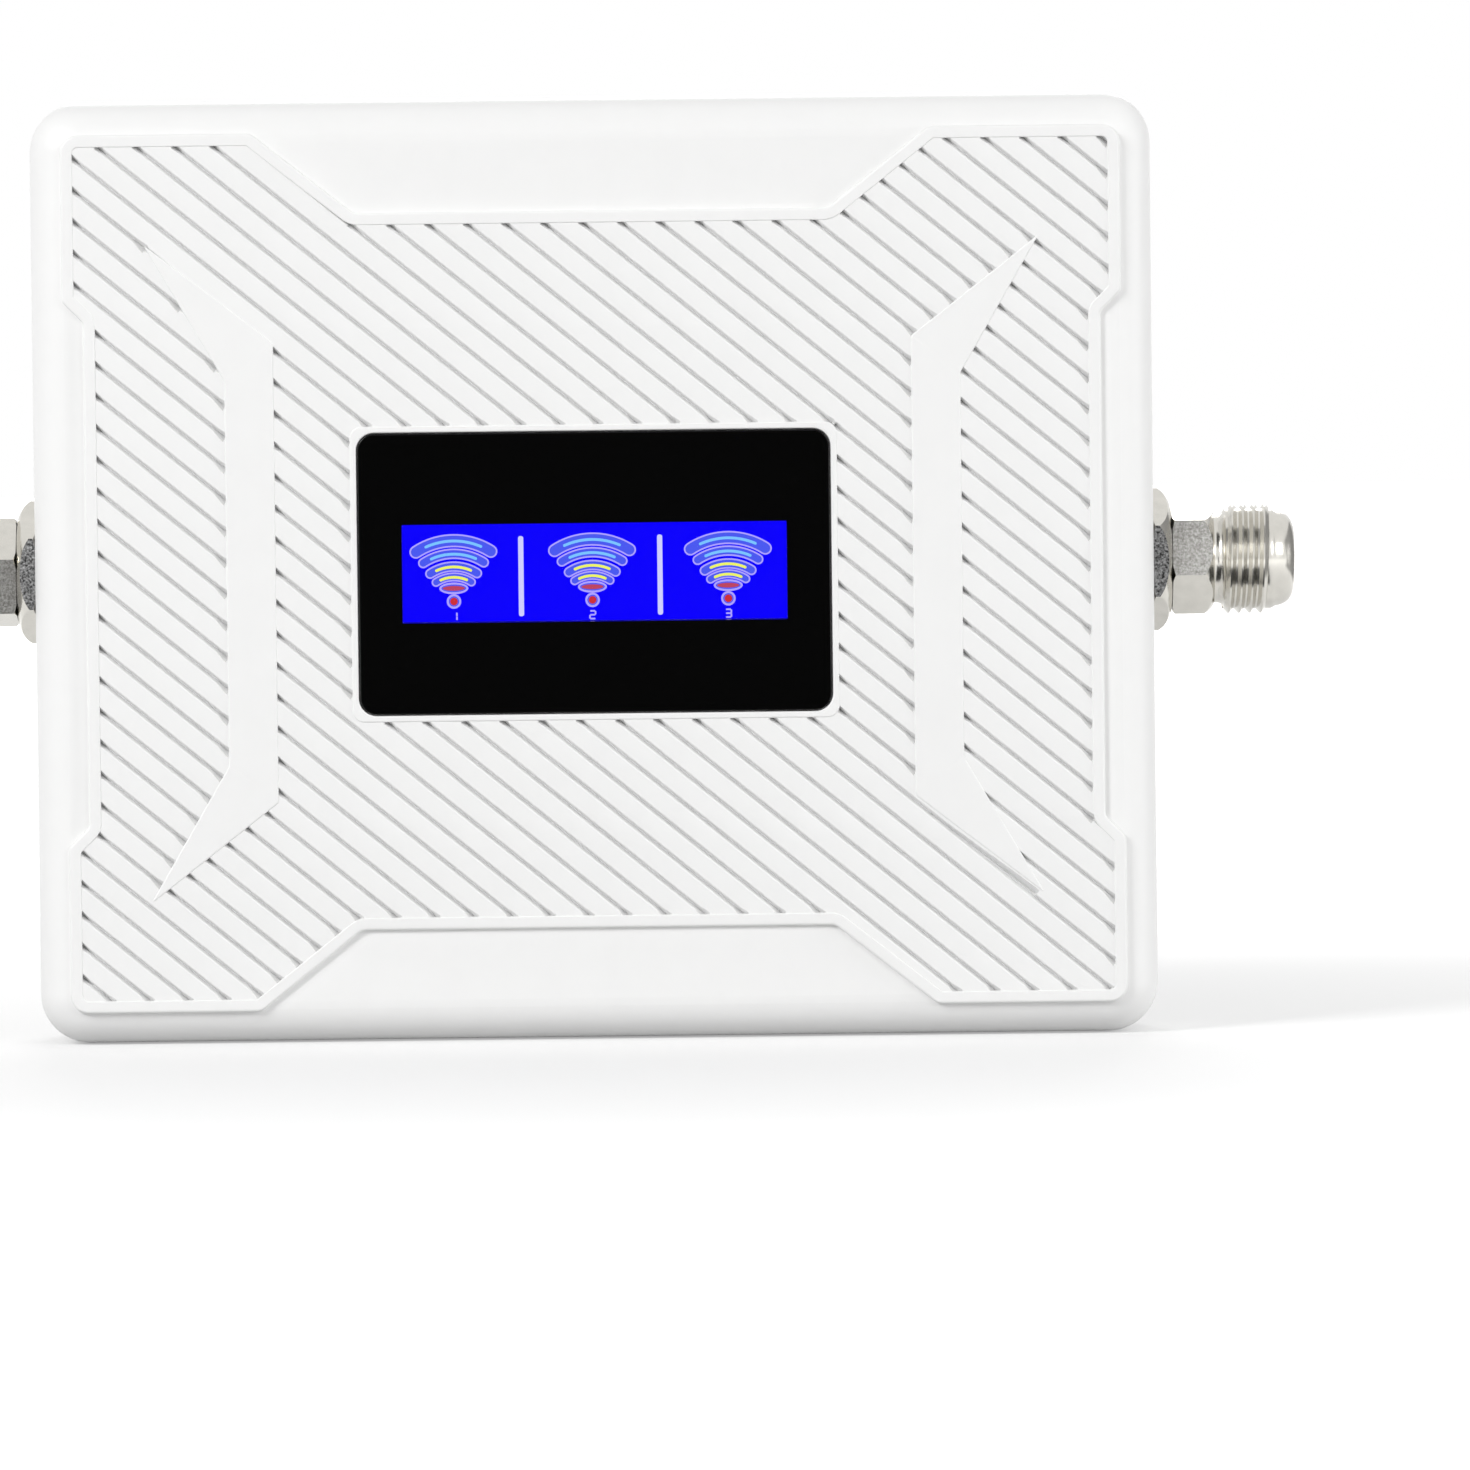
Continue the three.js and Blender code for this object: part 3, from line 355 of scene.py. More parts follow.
def evaluated(mesh, tree, **values):
    """Runs a geometry tree on a mesh with these input values and gives the plain mesh."""
    carrier = placed(tree.name, mesh)
    step = carrier.modifiers.new(tree.name, "NODES")
    step.node_group = tree
    for socket in tree.interface.items_tree:
        if socket.in_out == "INPUT" and socket.name in values:
            step[socket.identifier] = values[socket.name]
    return plain(carrier)


def piece(name, mesh, material, slot, *replaced, sharp=32):
    """Stands a drawn mesh up, smooths what is round, and puts it on the model."""
    mesh.transform(UPRIGHT)
    mesh.materials.clear()
    mesh.materials.append(material)
    mesh.shade_smooth()
    mesh.set_sharp_from_angle(angle=math.radians(sharp))
    draft = placed(name + "_draft", mesh)
    draft.modifiers.new("weighted", "WEIGHTED_NORMAL").keep_sharp = True
    final = plain(draft)
    final.name = name
    part = placed(name, final)
    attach(part, "root")
    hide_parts(*replaced)
    return part


def new_tree(name, kind, outputs, **inputs):
    """A node group with these sockets, its nodes and links, and its two ends."""
    tree = bpy.data.node_groups.new(name, kind + "NodeTree")
    for way, sockets in (("INPUT", inputs), ("OUTPUT", outputs)):
        for label, socket in sockets.items():
            label = label.replace("_", " ").title()
            tree.interface.new_socket(label, in_out=way, socket_type="NodeSocket" + socket)
    nodes = tree.nodes
    return tree, nodes, tree.links, nodes.new("NodeGroupInput"), nodes.new("NodeGroupOutput")


def made_real(nodes, links, given, copies, result):
    """Ends a geometry tree: what it made becomes a real mesh of the given material."""
    real, paint = nodes.new("GeometryNodeRealizeInstances"), nodes.new("GeometryNodeSetMaterial")
    links.new(copies, real.inputs["Geometry"])
    wire(links, (real, "Geometry", paint, "Geometry"), (given, "Material", paint, "Material"),
         (paint, "Geometry", result, 0))


# Cuts in a row: the outline of one cut is pushed through as a prism and repeated in even steps
row_of_cuts, nodes, links, given, result = new_tree(
    "row_of_cuts", "Geometry", {"cuts": "Geometry"}, outline="Geometry", push="Vector",
    step="Vector", count="Int", material="Material",
)
push, flip = nodes.new("GeometryNodeExtrudeMesh"), nodes.new("GeometryNodeFlipFaces")
preset(push, Individual=False)
closed, weld = nodes.new("GeometryNodeJoinGeometry"), nodes.new("GeometryNodeMergeByDistance")
preset(weld, Distance=1e-5)
line, copies = nodes.new("GeometryNodeMeshLine"), nodes.new("GeometryNodeInstanceOnPoints")
wire(
    links, (given, "Outline", push, "Mesh"), (given, "Push", push, "Offset"),
    (given, "Outline", flip, "Mesh"), (push, "Mesh", closed, "Geometry"),
    (flip, "Mesh", closed, "Geometry"), (closed, "Geometry", weld, "Geometry"),
    (given, "Count", line, "Count"), (given, "Step", line, "Offset"),
    (line, "Mesh", copies, "Points"), (weld, "Geometry", copies, "Instance"),
)
made_real(nodes, links, given, copies.outputs["Instances"], result)


def cuts(points, push, step, count, material):
    """A row of prisms from one outline, given as points in space."""
    one = bpy.data.meshes.new("outline")
    one.from_pydata([tuple(p) for p in points], [], [list(range(len(points)))])
    bm = bmesh.new()
    bm.from_mesh(evaluated(one, row_of_cuts, Push=push, Step=step, Count=count, Material=material))
    return closed_mesh(bm)


# Grain: the small unevenness of a real surface, as colour, roughness and height
grain, nodes, links, given, result = new_tree(
    "grain", "Shader", {"color": "Color", "roughness": "Float", "height": "Float"},
    vector="Vector", scale="Float", spread="Float", dark="Color", light="Color",
    roughness_low="Float", roughness_high="Float",
)
fine, broad = nodes.new("ShaderNodeTexNoise"), nodes.new("ShaderNodeTexNoise")
preset(fine, Detail=3)
preset(broad, Detail=2)
tint, gloss = nodes.new("ShaderNodeMix"), nodes.new("ShaderNodeMapRange")
tint.data_type = "RGBA"
wide = worked(grain, "DIVIDE", given.outputs["Scale"], given.outputs["Spread"])
links.new(wide, broad.inputs["Scale"])
wire(
    links, (given, "Vector", fine, "Vector"), (given, "Vector", broad, "Vector"),
    (given, "Scale", fine, "Scale"), (broad, "Fac", tint, "Factor"), (given, "Dark", tint, "A"),
    (given, "Light", tint, "B"), (broad, "Fac", gloss, "Value"),
    (given, "Roughness Low", gloss, "To Min"), (given, "Roughness High", gloss, "To Max"),
    (tint, "Result", result, "Color"), (gloss, "Result", result, "Roughness"),
    (fine, "Fac", result, "Height"),
)


def surface(name, dark, light, roughness, scale, bump, spread=12.0, stretch=(1, 1, 1), **constants):
    """A material with grain. Its constant values are set on the shader itself."""
    made, tree, shader = principled(name, **constants)
    place, turn = tree.nodes.new("ShaderNodeTexCoord"), tree.nodes.new("ShaderNodeMapping")
    uneven, relief = tree.nodes.new("ShaderNodeGroup"), tree.nodes.new("ShaderNodeBump")
    uneven.node_tree = grain
    uneven.name, relief.name = "grain", "relief"
    preset(turn, Scale=stretch)
    preset(uneven, Scale=scale, Spread=spread, Dark=(*dark, 1), Light=(*light, 1),
           Roughness_Low=roughness[0], Roughness_High=roughness[1])
    preset(relief, Strength=bump[0], Distance=bump[1])
    wire(
        tree.links, (place, "Object", turn, "Vector"), (turn, "Vector", uneven, "Vector"),
        (uneven, "Color", shader, "Base Color"), (uneven, "Roughness", shader, "Roughness"),
        (uneven, "Height", relief, "Height"), (relief, "Normal", shader, "Normal"),
    )
    return made


white_plastic = surface(
    "white_plastic", (0.88, 0.88, 0.875), (0.905, 0.905, 0.9), (0.42, 0.5), 2600, (0.12, 0.00002),
)

HALF_WIDTH, HALF_HEIGHT = 81, 68
housing = rectangle(2 * HALF_WIDTH, 2 * HALF_HEIGHT, 7.2)


def four_places(x, y, middle=0.0):
    return [(sx * x, sy * y + middle) for sx in (-1, 1) for sy in (-1, 1)]


boss_places, post_places = four_places(73.2, 60.2), four_places(55, 29)
PLATE = 2.5
KEYHOLE_HEIGHT, KEYHOLE_TRAVEL, POCKET_FLOOR = 46, 8, 6.7


def slot_loop(radius, travel, x, y, arc=20):
    """The outside of an upright bar with round ends: the lower end's centre is at x, y."""

    def points(distance):
        return [
            polar(radius - distance, start + math.pi * k / arc, x, y + end)
            for end, start in ((travel, 0), (0, math.pi)) for k in range(arc + 1)
        ]

    return points


def keyhole_loop(entry, neck, travel, x, y, arc=36):
    """A round entry with a narrower slot running up from it, as a hole."""

    def points(distance):
        wide, narrow = entry + distance, neck + distance
        start = math.acos(narrow / wide)
        entered = [
            polar(wide, math.pi - start + (math.pi + 2 * start) * k / arc, x, y)
            for k in range(arc + 1)
        ]
        end = [polar(narrow, math.pi * k * 2 / arc, x, y + travel) for k in range(arc // 2 + 1)]
        return (entered + end)[::-1]

    return points


screw_seat = [(0, 0), (0, 0.3), (-1.45, 1.9), (-1.45, PLATE)]
plate = solid(
    (outline(inset(housing, 1.55)), rounded(0, PLATE, back_edge=0.4, front_edge=0.2)),
    *((keyhole_loop(4.5, 2.2, KEYHOLE_TRAVEL, x, KEYHOLE_HEIGHT),
       rounded(0, PLATE, back_edge=0.25)) for x in (-50, 50)),
    *((circle(3.2, x, y), screw_seat) for x, y in boss_places),
)
slot_outline = [(p.x, p.y, -1) for p in slot_loop(1, 13, -25, 0)(0)]
for y in (-53.5, 40.5):
    vents = cuts(slot_outline, (0, 0, PLATE + 2), (5, 0, 0), 11, white_plastic)
    plate = shaped(plate, "DIFFERENCE", moved(vents, shift(y=y)))
for x in (-50, 50):
    cup = solid((slot_loop(7, KEYHOLE_TRAVEL, x, KEYHOLE_HEIGHT),
                 rounded(PLATE - 0.3, POCKET_FLOOR + 1.3, front_edge=0.8)))
    room = solid((slot_loop(5.7, KEYHOLE_TRAVEL, x, KEYHOLE_HEIGHT), straight(0, POCKET_FLOOR)))
    plate = shaped(plate, "UNION", shaped(cup, "DIFFERENCE", room))
for x, y in post_places:
    post = solid((circle(4, x, y, hole=False), rounded(1.5, 5.9, front_edge=0.3)),
                 (circle(1.55, x, y), straight(1.5, 5.9)))
    plate = shaped(plate, "UNION", post)
ribs = [(84, 1.4, 0, sy * 64.5) for sy in (-1, 1)]
ribs += [(1.4, 26, *spot) for spot in four_places(77.5, 36)]
for width, height, x, y in ribs:
    rib = solid((outline(rectangle(width, height, 0.3, x, y), 2), rounded(1.25, 4.5, 0, 0.25)))
    plate = shaped(plate, "UNION", rib)
piece("back_plate", plate, white_plastic, "white_shell", "rear_cover")

# Front cover. One white plastic moulding: a deep tray with rolled edges, a raised panel notched at
# all four sides, and a field of slanted louvres between the rim, the two smooth arms and the frame
# of the display window. Bosses inside take the case screws and carry the display board.
DEPTH, PANEL, LAND, CEILING, SEAT = 28.0, 28.9, 28.75, 25.5, 27.15
WINDOW_MIDDLE = -0.4
WINDOW = rectangle(68.5, 40.9, 2.6, 0, WINDOW_MIDDLE)
PORT_DEPTH, PORT_HOLE = 12.6, 6.3


def mirrored(corners, fx, fy):
    return [(fx * x, fy * y, r) for x, y, r in corners]


def fourfold(quarter):
    """The whole outline, anticlockwise, from its upper right quarter."""
    upper = quarter + mirrored(quarter, -1, 1)[::-1]
    return upper + mirrored(upper, 1, -1)[::-1]


panel_outline = fourfold(
    [(73.4, 36.4, 1.2), (76.4, 39.4, 1.2), (76.4, 63.4, 2.6), (48.9, 63.4, 2), (34.2, 51.8, 2)]
)
field_outline = inset(panel_outline, 1.75)
arm = [(53.1, 27.8, 0.8), (64.6, 47.6, 0.12), (46, 33.2, 0.8)]
arm += mirrored(arm, 1, -1)[::-1]

shell = solid((outline(housing, 12), rounded(0, DEPTH, 0.3, 6, 16)))
base = solid((outline(inset(field_outline, -0.9)), straight(26.5, LAND)))
shell = shaped(shell, "UNION", base)

field = solid((outline(inset(field_outline, -0.4)), straight(27, 30)))

# One groove across the louvres: x is measured up to the right across them, z is the depth
GROOVES, PITCH, FIRST, FLOOR, REACH = 62, 3.52, 2.95, -0.17, 110
lip = LAND + 0.003
groove = [(-2, LAND + 1, 0), (-2, lip, 0), (-0.54, lip, 0.3), (FLOOR, LAND - 1.15, 0.05)]
groove += [(0.16, lip, 0.2), (0.9, lip, 0), (0.9, LAND + 1, 0)]
LOUVRE_TURN = math.radians(90 - 39.3)
section = [(p.x, -REACH, p.y) for p in outline(groove, 5)(0)]
rake = cuts(section, (0, 2 * REACH, 0), (PITCH, 0, 0), GROOVES, white_plastic)
rake = moved(rake, shift(x=FIRST - GROOVES // 2 * PITCH), spin(LOUVRE_TURN))
shell = shaped(shell, "DIFFERENCE", shaped(rake, "INTERSECT", field))


def inside(corners, spot):
    """Whether a spot lies in an outline, by how often a line from it to the right meets a side."""
    crossed = 0
    for (x0, y0, _), (x1, y1, _) in zip(corners, corners[1:] + corners[:1]):
        if (y0 > spot[1]) != (y1 > spot[1]):
            crossed += spot[0] < x0 + (spot[1] - y0) * (x1 - x0) / (y1 - y0)
    return crossed % 2 == 1


def in_field(spot):
    raised = (arm, mirrored(arm, -1, 1), inset(WINDOW, -0.9))
    return inside(field_outline, spot) and not any(inside(edge, spot) for edge in raised)


def notch(name, *stations):
    """A pointed cut along the grooves, between two stations: y, left x, right x, point x, depth."""
    made = bpy.data.meshes.new(name)
    made.from_pydata(
        [(x, y, LAND + z) for y, left, right, point, depth in stations
         for x, z in ((left, 0.02), (right, 0.02), (point, -depth))],
        [], [(0, 1, 2), (5, 4, 3), (0, 3, 4, 1), (1, 4, 5, 2), (2, 5, 3, 0)],
    )
    return moved(made, spin(LOUVRE_TURN))


# The same thing at many places, here the ends of the grooves, later the lit fans and the screws
at_places, nodes, links, given, result = new_tree(
    "at_places", "Geometry", {"all": "Geometry"}, places="Geometry", one="Object",
    material="Material",
)
one, copies = nodes.new("GeometryNodeObjectInfo"), nodes.new("GeometryNodeInstanceOnPoints")
wire(links, (given, "One", one, "Object"), (given, "Places", copies, "Points"),
     (one, "Geometry", copies, "Instance"))
made_real(nodes, links, given, copies.outputs["Instances"], result)


def repeated(mesh, places, material):
    """Copies of a mesh at each of the places, as one mesh."""
    one = placed("one", mesh)
    spots = bpy.data.meshes.new("spots")
    spots.from_pydata([(*place, 0)[:3] for place in places], [], [])
    copies = evaluated(spots, at_places, One=one, Material=material)
    bpy.data.objects.remove(one)
    return copies


# Where a groove meets a raised edge, it is a little wider and deeper. Only the two that start at
# the slanted lower edge of the right arm aren't
STEP = 0.2
starts, ends = [], []
for k in range(GROOVES):
    line = FIRST + FLOOR + (k - GROOVES // 2) * PITCH
    walk = [
        Matrix.Rotation(LOUVRE_TURN, 2) @ Vector((line, REACH - STEP * s))
        for s in range(round(2 * REACH / STEP))
    ]
    cut = [in_field(spot) for spot in walk]
    for last, spot, was_cut, is_cut in zip(walk, walk[1:], cut, cut[1:]):
        if is_cut and not was_cut and not (spot.x > 53 and -48 < spot.y < -27):
            starts.append((spot + last) / 2)
        if was_cut and not is_cut:
            ends.append((spot + last) / 2)
lead_in = notch("lead_in", (0.3, -0.56, 0.48, 0, 1.6), (-2.2, -0.34, 0.3, 0, 1))
lead_out = notch("lead_out", (2.2, -0.34, 0.3, 0, 1), (-0.3, -0.85, 0.55, -0.1, 1.7))
shell = shaped(shell, "DIFFERENCE", repeated(lead_in, starts, white_plastic))
shell = shaped(shell, "DIFFERENCE", repeated(lead_out, ends, white_plastic))
# The groove under the tip of the right arm widens towards the arm's edge
under_arm = notch("under_arm", (-60, 2.35, 3.1, 2.75, 1.2), (-79.2, 2.55, 3.9, 3.2, 1.3))
shell = shaped(shell, "DIFFERENCE", under_arm)

rim = solid(
    (outline(panel_outline), rounded(26, PANEL, 0, 0.4)),
    (outline(field_outline[::-1]), rounded(26, PANEL, 0, 0.15)),
)
frame_ring = solid(
    (outline(inset(WINDOW, -0.9)), rounded(26, PANEL, 0, 0.2)),
    (outline(WINDOW[::-1]), rounded(26, PANEL, 0, 0.2)),
)
arms = [
    solid((outline(corners), rounded(26.5, PANEL, 0, 0.2)))
    for corners in (arm, mirrored(arm, -1, 1)[::-1])
]
shell = shaped(shell, "UNION", rim, frame_ring, *arms)
hollow = solid((outline(inset(housing, 2.5)), rounded(-2, CEILING, 0, 3.5, 6)))
seat = solid((outline(WINDOW), straight(SEAT, 30)))
sight = solid((outline(inset(WINDOW, 2)), straight(23, 27.5)))
rebate = solid((outline(inset(housing, 1.3)), straight(-2, PLATE)))
shell = shaped(shell, "DIFFERENCE", hollow, seat, sight, rebate)
for x, y in boss_places:
    side_x, side_y = math.copysign(HALF_WIDTH - 1.5, x), math.copysign(HALF_HEIGHT - 1.5, y)
    web_x = rectangle(abs(side_x - x), 1.6, 0, (side_x + x) / 2, y)
    web_y = rectangle(1.6, abs(side_y - y), 0, x, (side_y + y) / 2)
    webs = [solid((outline(web), straight(PLATE, CEILING + 0.2))) for web in (web_x, web_y)]
    shell = shaped(shell, "UNION", rod(4, PLATE, CEILING + 1, x, y), *webs)
    shell = shaped(shell, "DIFFERENCE", rod(1.75, 0, 18.5, x, y))
display_screws = four_places(38.4, 15.4, WINDOW_MIDDLE)
for x, y in display_screws:
    shell = shaped(shell, "UNION", rod(2.8, 20.1, CEILING + 1, x, y))
    shell = shaped(shell, "DIFFERENCE", rod(1.55, 18, CEILING, x, y))
for side in (-1, 1):
    flat = solid((outline(rectangle(2, 20)), straight(70, 90)))
    hole = shaped(rod(PORT_HOLE, 76, 84, facets=64), "DIFFERENCE", moved(flat, shift(x=6.4)))
    hole = moved(hole, spin(ROUND, "Y"), shift(z=PORT_DEPTH), spin(0 if side > 0 else math.pi))
    shell = shaped(shell, "DIFFERENCE", hole)
jack_place = shift(45, -HALF_HEIGHT, 17.1)
jack_hole = moved(rod(4.4, -5, 5, facets=64), spin(ROUND, "X"), jack_place)
shell = shaped(shell, "DIFFERENCE", jack_hole)
front_shell = piece("front_shell", shell, white_plastic, "white_shell", "front_cover")

# The walls of the grooves are marked in the mesh, and painted shade makes the plastic greyer deep
# down between them
across = Vector((math.cos(LOUVRE_TURN), 0, math.sin(LOUVRE_TURN)))
along = across.cross((0, 1, 0))
shade_depth = 1.3
walls = front_shell.data.attributes.new("groove_wall", "FLOAT", "FACE")
walls.data.foreach_set("value", [
    float(abs(face.normal.dot(along)) < 0.2 and abs(face.normal.dot(across)) > 0.5
          and in_field((face.center.x * 1000, face.center.z * 1000)))
    for face in front_shell.data.polygons
])
nodes, links = white_plastic.node_tree.nodes, white_plastic.node_tree.links
wall, height = nodes.new("ShaderNodeAttribute"), nodes.new("ShaderNodeSeparateXYZ")
wall.attribute_name = "groove_wall"
deep, shade = nodes.new("ShaderNodeMapRange"), nodes.new("ShaderNodeMix")
preset(deep, From_Min=-LAND / 1000, From_Max=(shade_depth - LAND) / 1000)
shade.data_type = "RGBA"
# The grey of the painted shade at the full depth
preset(shade, B=(0.81, 0.81, 0.81, 1))
links.new(wall.outputs["Fac"], deep.inputs["To Max"])
wire(
    links, (nodes["Mapping"], "Vector", height, 0), (height, "Y", deep, "Value"),
    (deep, "Result", shade, "Factor"), (nodes["grain"], "Color", shade, "A"),
    (shade, "Result", nodes["Principled BSDF"], "Base Color"),
)

# Display window. A clear acrylic sheet, set flush in the frame of the front cover and glued to its
# inner lip. It is printed black from behind and left clear over the display, made here as two.
SHEET_FRONT = 28.65
clear_outline = rectangle(55.6, 14.2, 0.2, 0, WINDOW_MIDDLE)
printed = surface(
    "black_printed_acrylic", (0.001, 0.001, 0.001), (0.002, 0.002, 0.002), (0.02, 0.04), 60,
    (0.01, 0.00001), IOR=1.49, Specular_IOR_Level=0.4,
)
clear = surface(
    "clear_acrylic", (0.98, 0.98, 0.98), (1, 1, 1), (0.01, 0.02), 60, (0.01, 0.00001),
    IOR=1.49, Specular_IOR_Level=0.3, Transmission_Weight=1,
)
sheet_mesh = solid(
    (outline(inset(WINDOW, 0.2)), rounded(SEAT, SHEET_FRONT, 0.05, 0.12, 3)),
    (outline(clear_outline[::-1], 3), straight(SEAT, SHEET_FRONT)),
)
piece("display_window_sheet", sheet_mesh, printed, "black_pane", "display_window")
view_mesh = solid((outline(inset(clear_outline, -0.1), 3), straight(28.3, SHEET_FRONT - 0.01)))
piece("display_window_view", view_mesh, clear, "black_pane", "display_window")

# Display picture. Lit marks on the glass cell: three signal fans of four arcs, an oval and a dot,
# each with its plain number, and two upright dividers between them.
ICON_PLACES = (-20.4, -0.35, 19.3)
APEX, FAN = -5.7, math.radians(33)
LAVENDER, BLUE, SKY = (0.42, 0.36, 1), (0.07, 0.1, 0.86), (0.2, 0.55, 1)
YELLOW, RED, DARK_RED = (0.85, 0.9, 0.14), (0.5, 0.06, 0.12), (0.6, 0.03, 0.04)


def glowing(name, colour, strength):
    """Plain lit ink of a display."""
    return principled(
        name, Base_Color=(0, 0, 0, 1), Specular_IOR_Level=0, Emission_Color=(*colour, 1),
        Emission_Strength=strength,
    )[0]


def arc_loop(radius, width, angle=FAN, steps=28, cap=8):
    """A bow-shaped band about the apex with round ends, walked anticlockwise."""

    def points(distance):
        half, walk = width / 2 - distance, []
        for k in range(steps + 1):
            walk.append((radius + half, ROUND - angle + 2 * angle * k / steps, 0, 0))
        for k in range(1, cap):
            walk.append((radius, ROUND + angle, half, ROUND + angle + math.pi * k / cap))
        for k in range(steps + 1):
            walk.append((radius - half, ROUND + angle - 2 * angle * k / steps, 0, 0))
        for k in range(1, cap):
            walk.append((radius, ROUND - angle, half, ROUND - angle + math.pi * (1 + k / cap)))
        return [polar(r, a, 0, APEX) + polar(h, b) for r, a, h, b in walk]

    return points


def oval_loop(width, height, y, facets=36):
    def points(distance):
        w, h = width / 2 - distance, height / 2 - distance
        turns = (2 * math.pi * k / facets for k in range(facets))
        return [Vector((w * math.cos(a), y + h * math.sin(a))) for a in turns]

    return points


GLASS = 24.3
marks = []


def mark(loop, colour, level=1):
    """One flat lit shape on the glass. Later levels lie on earlier ones."""
    flat = solid((loop, straight(GLASS - 0.005, GLASS + 0.01 + 0.012 * level)))
    layer = flat.attributes.new("ink", "FLOAT_COLOR", "POINT")
    layer.data.foreach_set("color", [*colour, 1] * len(flat.vertices))
    marks.append(flat)


def gathered(meshes, name):
    """Joins meshes to one and keeps their attributes."""
    bm = bmesh.new()
    for mesh in meshes:
        bm.from_mesh(mesh)
    joined = bpy.data.meshes.new(name)
    bm.to_mesh(joined)
    bm.free()
    return joined


arcs = ((9.95, 1.9, SKY), (8.05, 1.5, SKY), (6.2, 1.5, YELLOW), (4.7, 1.3, YELLOW))
for radius, width, light in arcs:
    mark(arc_loop(radius, width), LAVENDER)
    mark(arc_loop(radius, width - 0.45), BLUE, 2)
    mark(arc_loop(radius - 0.05, 0.4, FAN * 0.72), light, 3)
for width, height, y, fill in ((4.2, 1.7, APEX + 3.05, RED), (2.1, 2.1, APEX + 1.15, DARK_RED)):
    mark(oval_loop(width, height, y), LAVENDER)
    mark(oval_loop(width - 0.6, height - 0.6, y), BLUE, 2)
    mark(oval_loop(width - 1, height - 1, y), fill, 3)
fan = gathered(marks, "signal_fan")

cell = glowing("display_blue", (0.003, 0, 1), 1.06)
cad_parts["lcd_glass"].material_slots[0].material = cell
lit = glowing("lit_marks", (1, 1, 1), 1.1)
ink_colour = lit.node_tree.nodes.new("ShaderNodeAttribute")
ink_colour.attribute_name = "ink"
lit.node_tree.links.new(
    ink_colour.outputs["Color"], lit.node_tree.nodes["Principled BSDF"].inputs["Emission Color"]
)
fans = repeated(fan, [(x, 0, 0) for x in ICON_PLACES], lit)

SEGMENTS = {1: "bc", 2: "abged", 3: "abgcd"}
STROKES = {
    "a": (0, 0.56, 0.75, 0), "b": (0.4, 0.28, 0, 0.53), "c": (0.4, -0.28, 0, 0.53),
    "d": (0, -0.56, 0.75, 0), "e": (-0.4, -0.28, 0, 0.53), "g": (0, 0, 0.75, 0),
}
marks = []
for number, x in enumerate(ICON_PLACES, 1):
    for letter in SEGMENTS[number]:
        dx, dy, w, h = STROKES[letter]
        mark(outline(rectangle(w or 0.24, h or 0.24, 0.08, x + dx, -6.7 + dy), 2), LAVENDER)
for x in (-10.65, 9.45):
    mark(outline(rectangle(0.75, 11.6, 0.3, x, -1), 4), (0.62, 0.62, 1))
piece("lcd_picture", gathered([fans, *marks], "lcd_picture"), lit, "blue_lcd")

# Coaxial ports. A turned and threaded brass shell, plated with nickel, with two milled hexagons:
# its own and a nut against the side wall. A washer and a second nut hold it from inside.
PORT_THREAD, PORT_ROOT, PORT_PITCH = 8.0, 7.35, 1.56
OWN_HEX, NUT_HEX = 14.2, 17.9
HEX_START, NECK_START, THREAD_START, NOSE_START, PORT_END = 2.9, 9.0, 11.0, 17.7, 20.7

nickel = surface(
    "nickel_plate", (0.61, 0.595, 0.55), (0.73, 0.71, 0.66), (0.16, 0.24), 1500, (0.06, 0.00003),
    spread=3, Metallic=1,
)
# The marked faces are matt and speckled like milling, and much darker with painted shade, where the
# mesh says that they are flat
nodes, links = nickel.node_tree.nodes, nickel.node_tree.links
shader, milled = nodes["Principled BSDF"], nodes.new("ShaderNodeAttribute")
milled.attribute_name = "milled"
speckle, deeper = nodes.new("ShaderNodeTexNoise"), nodes.new("ShaderNodeBump")
preset(speckle, Scale=2700, Detail=4, Roughness=0.7)
preset(deeper, Distance=0.00022)
shaded_pits = nodes.new("ShaderNodeMapRange")
preset(shaded_pits, From_Min=0.38, From_Max=0.64, To_Min=0.02, To_Max=0.34)
tint, gloss = nodes.new("ShaderNodeMix"), nodes.new("ShaderNodeMix")
tint.data_type = "RGBA"
preset(gloss, B=0.34)
wire(
    links, (nodes["Mapping"], "Vector", speckle, "Vector"), (milled, "Fac", deeper, "Strength"),
    (speckle, "Fac", deeper, "Height"), (nodes["relief"], "Normal", deeper, "Normal"),
    (deeper, "Normal", shader, "Normal"), (speckle, "Fac", shaded_pits, "Value"),
    (milled, "Fac", tint, "Factor"), (milled, "Fac", gloss, "Factor"),
    (nodes["grain"], "Color", tint, "A"), (shaded_pits, "Result", tint, "B"),
    (tint, "Result", shader, "Base Color"), (nodes["grain"], "Roughness", gloss, "A"),
    (gloss, "Result", shader, "Roughness"),
)

# A screw thread: a ridge of four sides swept along a spiral, thinner towards its two ends
thread, nodes, links, given, result = new_tree(
    "thread", "Geometry", {"ridge": "Geometry"}, geometry="Geometry", radius="Float",
    depth="Float", pitch="Float", turns="Float", material="Material",
)
pitch, depth = given.outputs["Pitch"], given.outputs["Depth"]
spiral = nodes.new("GeometryNodeCurveSpiral")
shape = nodes.new("GeometryNodeCurvePrimitiveQuadrilateral")
preset(spiral, Resolution=56)
shape.mode = "TRAPEZOID"
preset(shape, Offset=0)
out, laid = nodes.new("ShaderNodeCombineXYZ"), nodes.new("GeometryNodeTransform")
preset(laid, Rotation=(0, 0, ROUND))
for value, node, socket in (
    (worked(thread, "MULTIPLY", pitch, given.outputs["Turns"]), spiral, "Height"),
    (worked(thread, "MULTIPLY", depth, 1.15), shape, "Height"),
    (worked(thread, "MULTIPLY", pitch, 0.95), shape, "Bottom Width"),
    (worked(thread, "MULTIPLY", pitch, 0.14), shape, "Top Width"),
    (worked(thread, "MULTIPLY", depth, -0.425), out, "X"),
):
    links.new(value, node.inputs[socket])
